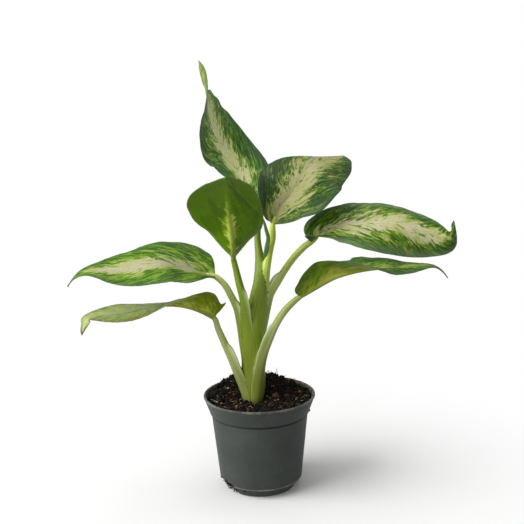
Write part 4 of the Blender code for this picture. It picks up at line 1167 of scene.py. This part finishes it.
# the ones that stand up at the back
for x, y, dx, dz in ((9, 17, 1.4, 5.5), (10.5, 16, -.4, 4.6), (8, 18, -1.5, 3.4), (13, 14, 1.8, 3.2),
                     (-20, 12, -1.5, 3.0), (-18, 14, .8, 2.6), (5, 20, .6, 3.0)):
    z = float(soil_top(np.array(x * 1.), np.array(y * 1.)))
    fibre([(x, y, z), (x + dx * .3, y + .2, z + dz * .4), (x + dx * .5, y - .2, z + dz * .75), (x + dx, y, z + dz)],
          .17, .25)
fib = new_object("soil_fibres", np.concatenate(FV), FF, [crumb_mat])
vert_attr(fib.data, "tone", np.concatenate(FT))
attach(fib, "root")

# --------------------------------------------- carried-over nodes: the roots
n = Nodes("root_flesh")
co = n.coord()
a = n.noise(n.mapping(co, (300, 300, 900)), 1.0, 3.0, .6)
NODES["roots"].data.materials.clear()
NODES["roots"].data.materials.append(n.finish(
    n.ramp(a, [(.3, srgb(150, 124, 84)), (.55, srgb(196, 176, 136)), (.75, srgb(214, 200, 168))], 'LINEAR'),
    .75, n.bump(a, .0002, .6)))

# the pale chip: an angular crumb of perlite
c0, c1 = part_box("perlite_chip")
n = Nodes("perlite")
co = n.coord()
a = n.noise(co, 2400, 3.0, .6)
bmx = bmesh.new()
bmesh.ops.create_icosphere(bmx, subdivisions=3, radius=1.0)
pv = np.array([tuple(v.co) for v in bmx.verts])
pf = [[v.index for v in f.verts] for f in bmx.faces]
bmx.free()
pv = np.sign(pv) * np.abs(pv)**.7
pv *= (1 + .35 * (fbm(pv[:, 0] * 1.3 + 5, pv[:, 1] * 1.3 + 5, pv[:, 2] * 1.3 + 5, 2, 3) - .5))[:, None]
pv = pv * np.array([1.15, .8, .5])
pv = pv @ np.array([[math.cos(.43), math.sin(.43), 0], [-math.sin(.43), math.cos(.43), 0], [0, 0, 1]])
cc = np.array((c0 + c1) / 2) / MM
chip = new_object("perlite_crumb", pv + cc, pf,
                  [n.finish(n.ramp(a, [(.3, srgb(150, 140, 116)), (.6, srgb(198, 190, 166))], 'LINEAR'), .85,
                            n.bump(a, .0002, .6))])
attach(chip, "root")
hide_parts("perlite_chip")

# ============================================================= floor, lights
n = Nodes("floor_paper")
co = n.coord()
xyz = n.split(co)
r = n.math('SQRT', n.math('ADD', n.math('MULTIPLY', xyz[0], xyz[0]), n.math('MULTIPLY', xyz[1], xyz[1])))
far = n.step(r, .02, .21)
em = n.add("ShaderNodeEmission")
em.inputs["Color"].default_value = (1, 1, 1, 1)
em.inputs["Strength"].default_value = 1.0
mixs = n.add("ShaderNodeMixShader")
n.b.inputs["Base Color"].default_value = (.88, .88, .88, 1)
n.b.inputs["Roughness"].default_value = .9
n.b.inputs["Specular IOR Level"].default_value = .1
n.t.links.new(far, mixs.inputs[0])
n.t.links.new(n.b.outputs[0], mixs.inputs[1])
n.t.links.new(em.outputs[0], mixs.inputs[2])
n.t.links.new(mixs.outputs[0], n.t.nodes["Material Output"].inputs["Surface"])
floor = new_object("floor", [(-4000, -4000, -.2), (4000, -4000, -.2), (4000, 4000, -.2), (-4000, 4000, -.2)],
                   [[0, 1, 2, 3]], [n.mat])
n = Nodes("backdrop_white")
em = n.add("ShaderNodeEmission")
em.inputs["Strength"].default_value = 1.0
n.t.links.new(em.outputs[0], n.t.nodes["Material Output"].inputs["Surface"])
bmx = bmesh.new()
bmesh.ops.create_uvsphere(bmx, u_segments=48, v_segments=24, radius=5.0)
me = bpy.data.meshes.new("backdrop")
bmx.to_mesh(me)
bmx.free()
me.materials.append(n.mat)
dome = bpy.data.objects.new("backdrop", me)
bpy.context.scene.collection.objects.link(dome)
for flag in ("visible_diffuse", "visible_glossy", "visible_transmission", "visible_shadow", "visible_volume_scatter"):
    setattr(dome, flag, False)
floor.visible_diffuse = False
floor.visible_shadow = False

world = bpy.data.worlds.new("studio")
bpy.context.scene.world = world
world.use_nodes = True
bg = world.node_tree.nodes["Background"]
bg.inputs["Color"].default_value = (1.0, 1.0, .985, 1)
bg.inputs["Strength"].default_value = 0.36


def area(name, loc, target, size, power, colour=(1, 1, 1)):
    li = bpy.data.lights.new(name, 'AREA')
    li.shape = 'DISK'
    li.size = size
    li.energy = power
    li.color = colour
    ob = bpy.data.objects.new(name, li)
    ob.location = loc
    ob.rotation_euler = (Vector(target) - Vector(loc)).to_track_quat('-Z', 'Y').to_euler()
    bpy.context.scene.collection.objects.link(ob)
    return ob


area("key", (-1.20, -.45, .85), (0, 0, .10), 1.4, 31.0, (1.0, .995, .98))
area("top", (.10, .10, 1.2), (0, 0, .10), .9, 3.6, (1.0, 1.0, 1.0))
area("fill", (-.40, -1.25, .35), (0, 0, .14), .7, 1.8, (1.0, 1.0, 1.0))

# -------------------------------------------------------------------- camera
cam = bpy.data.cameras.new("camera")
cam.sensor_width = 36.0
cam.lens = 36.0 * 800.0 / 524.0
cam.clip_start = 0.01
cam.clip_end = 50.0
cob = bpy.data.objects.new("camera", cam)
bpy.context.scene.collection.objects.link(cob)
c_, s_ = math.cos(math.radians(10)), math.sin(math.radians(10))
cr, sr = math.cos(math.radians(1.25)), math.sin(math.radians(1.25))
Rv, Uv, Fv = Vector((1, 0, 0)), Vector((0, s_, c_)), Vector((0, c_, -s_))
Xc, Yc, Zc = Rv * cr - Uv * sr, Rv * sr + Uv * cr, -Fv
cob.matrix_world = Matrix(((Xc.x, Yc.x, Zc.x, .003), (Xc.y, Yc.y, Zc.y, -.4129),
                           (Xc.z, Yc.z, Zc.z, .1955), (0, 0, 0, 1)))
bpy.context.scene.camera = cob
bpy.context.scene.view_settings.view_transform = 'Standard'

# -------------------------------------------------------------- closing step
bpy.context.view_layer.update()
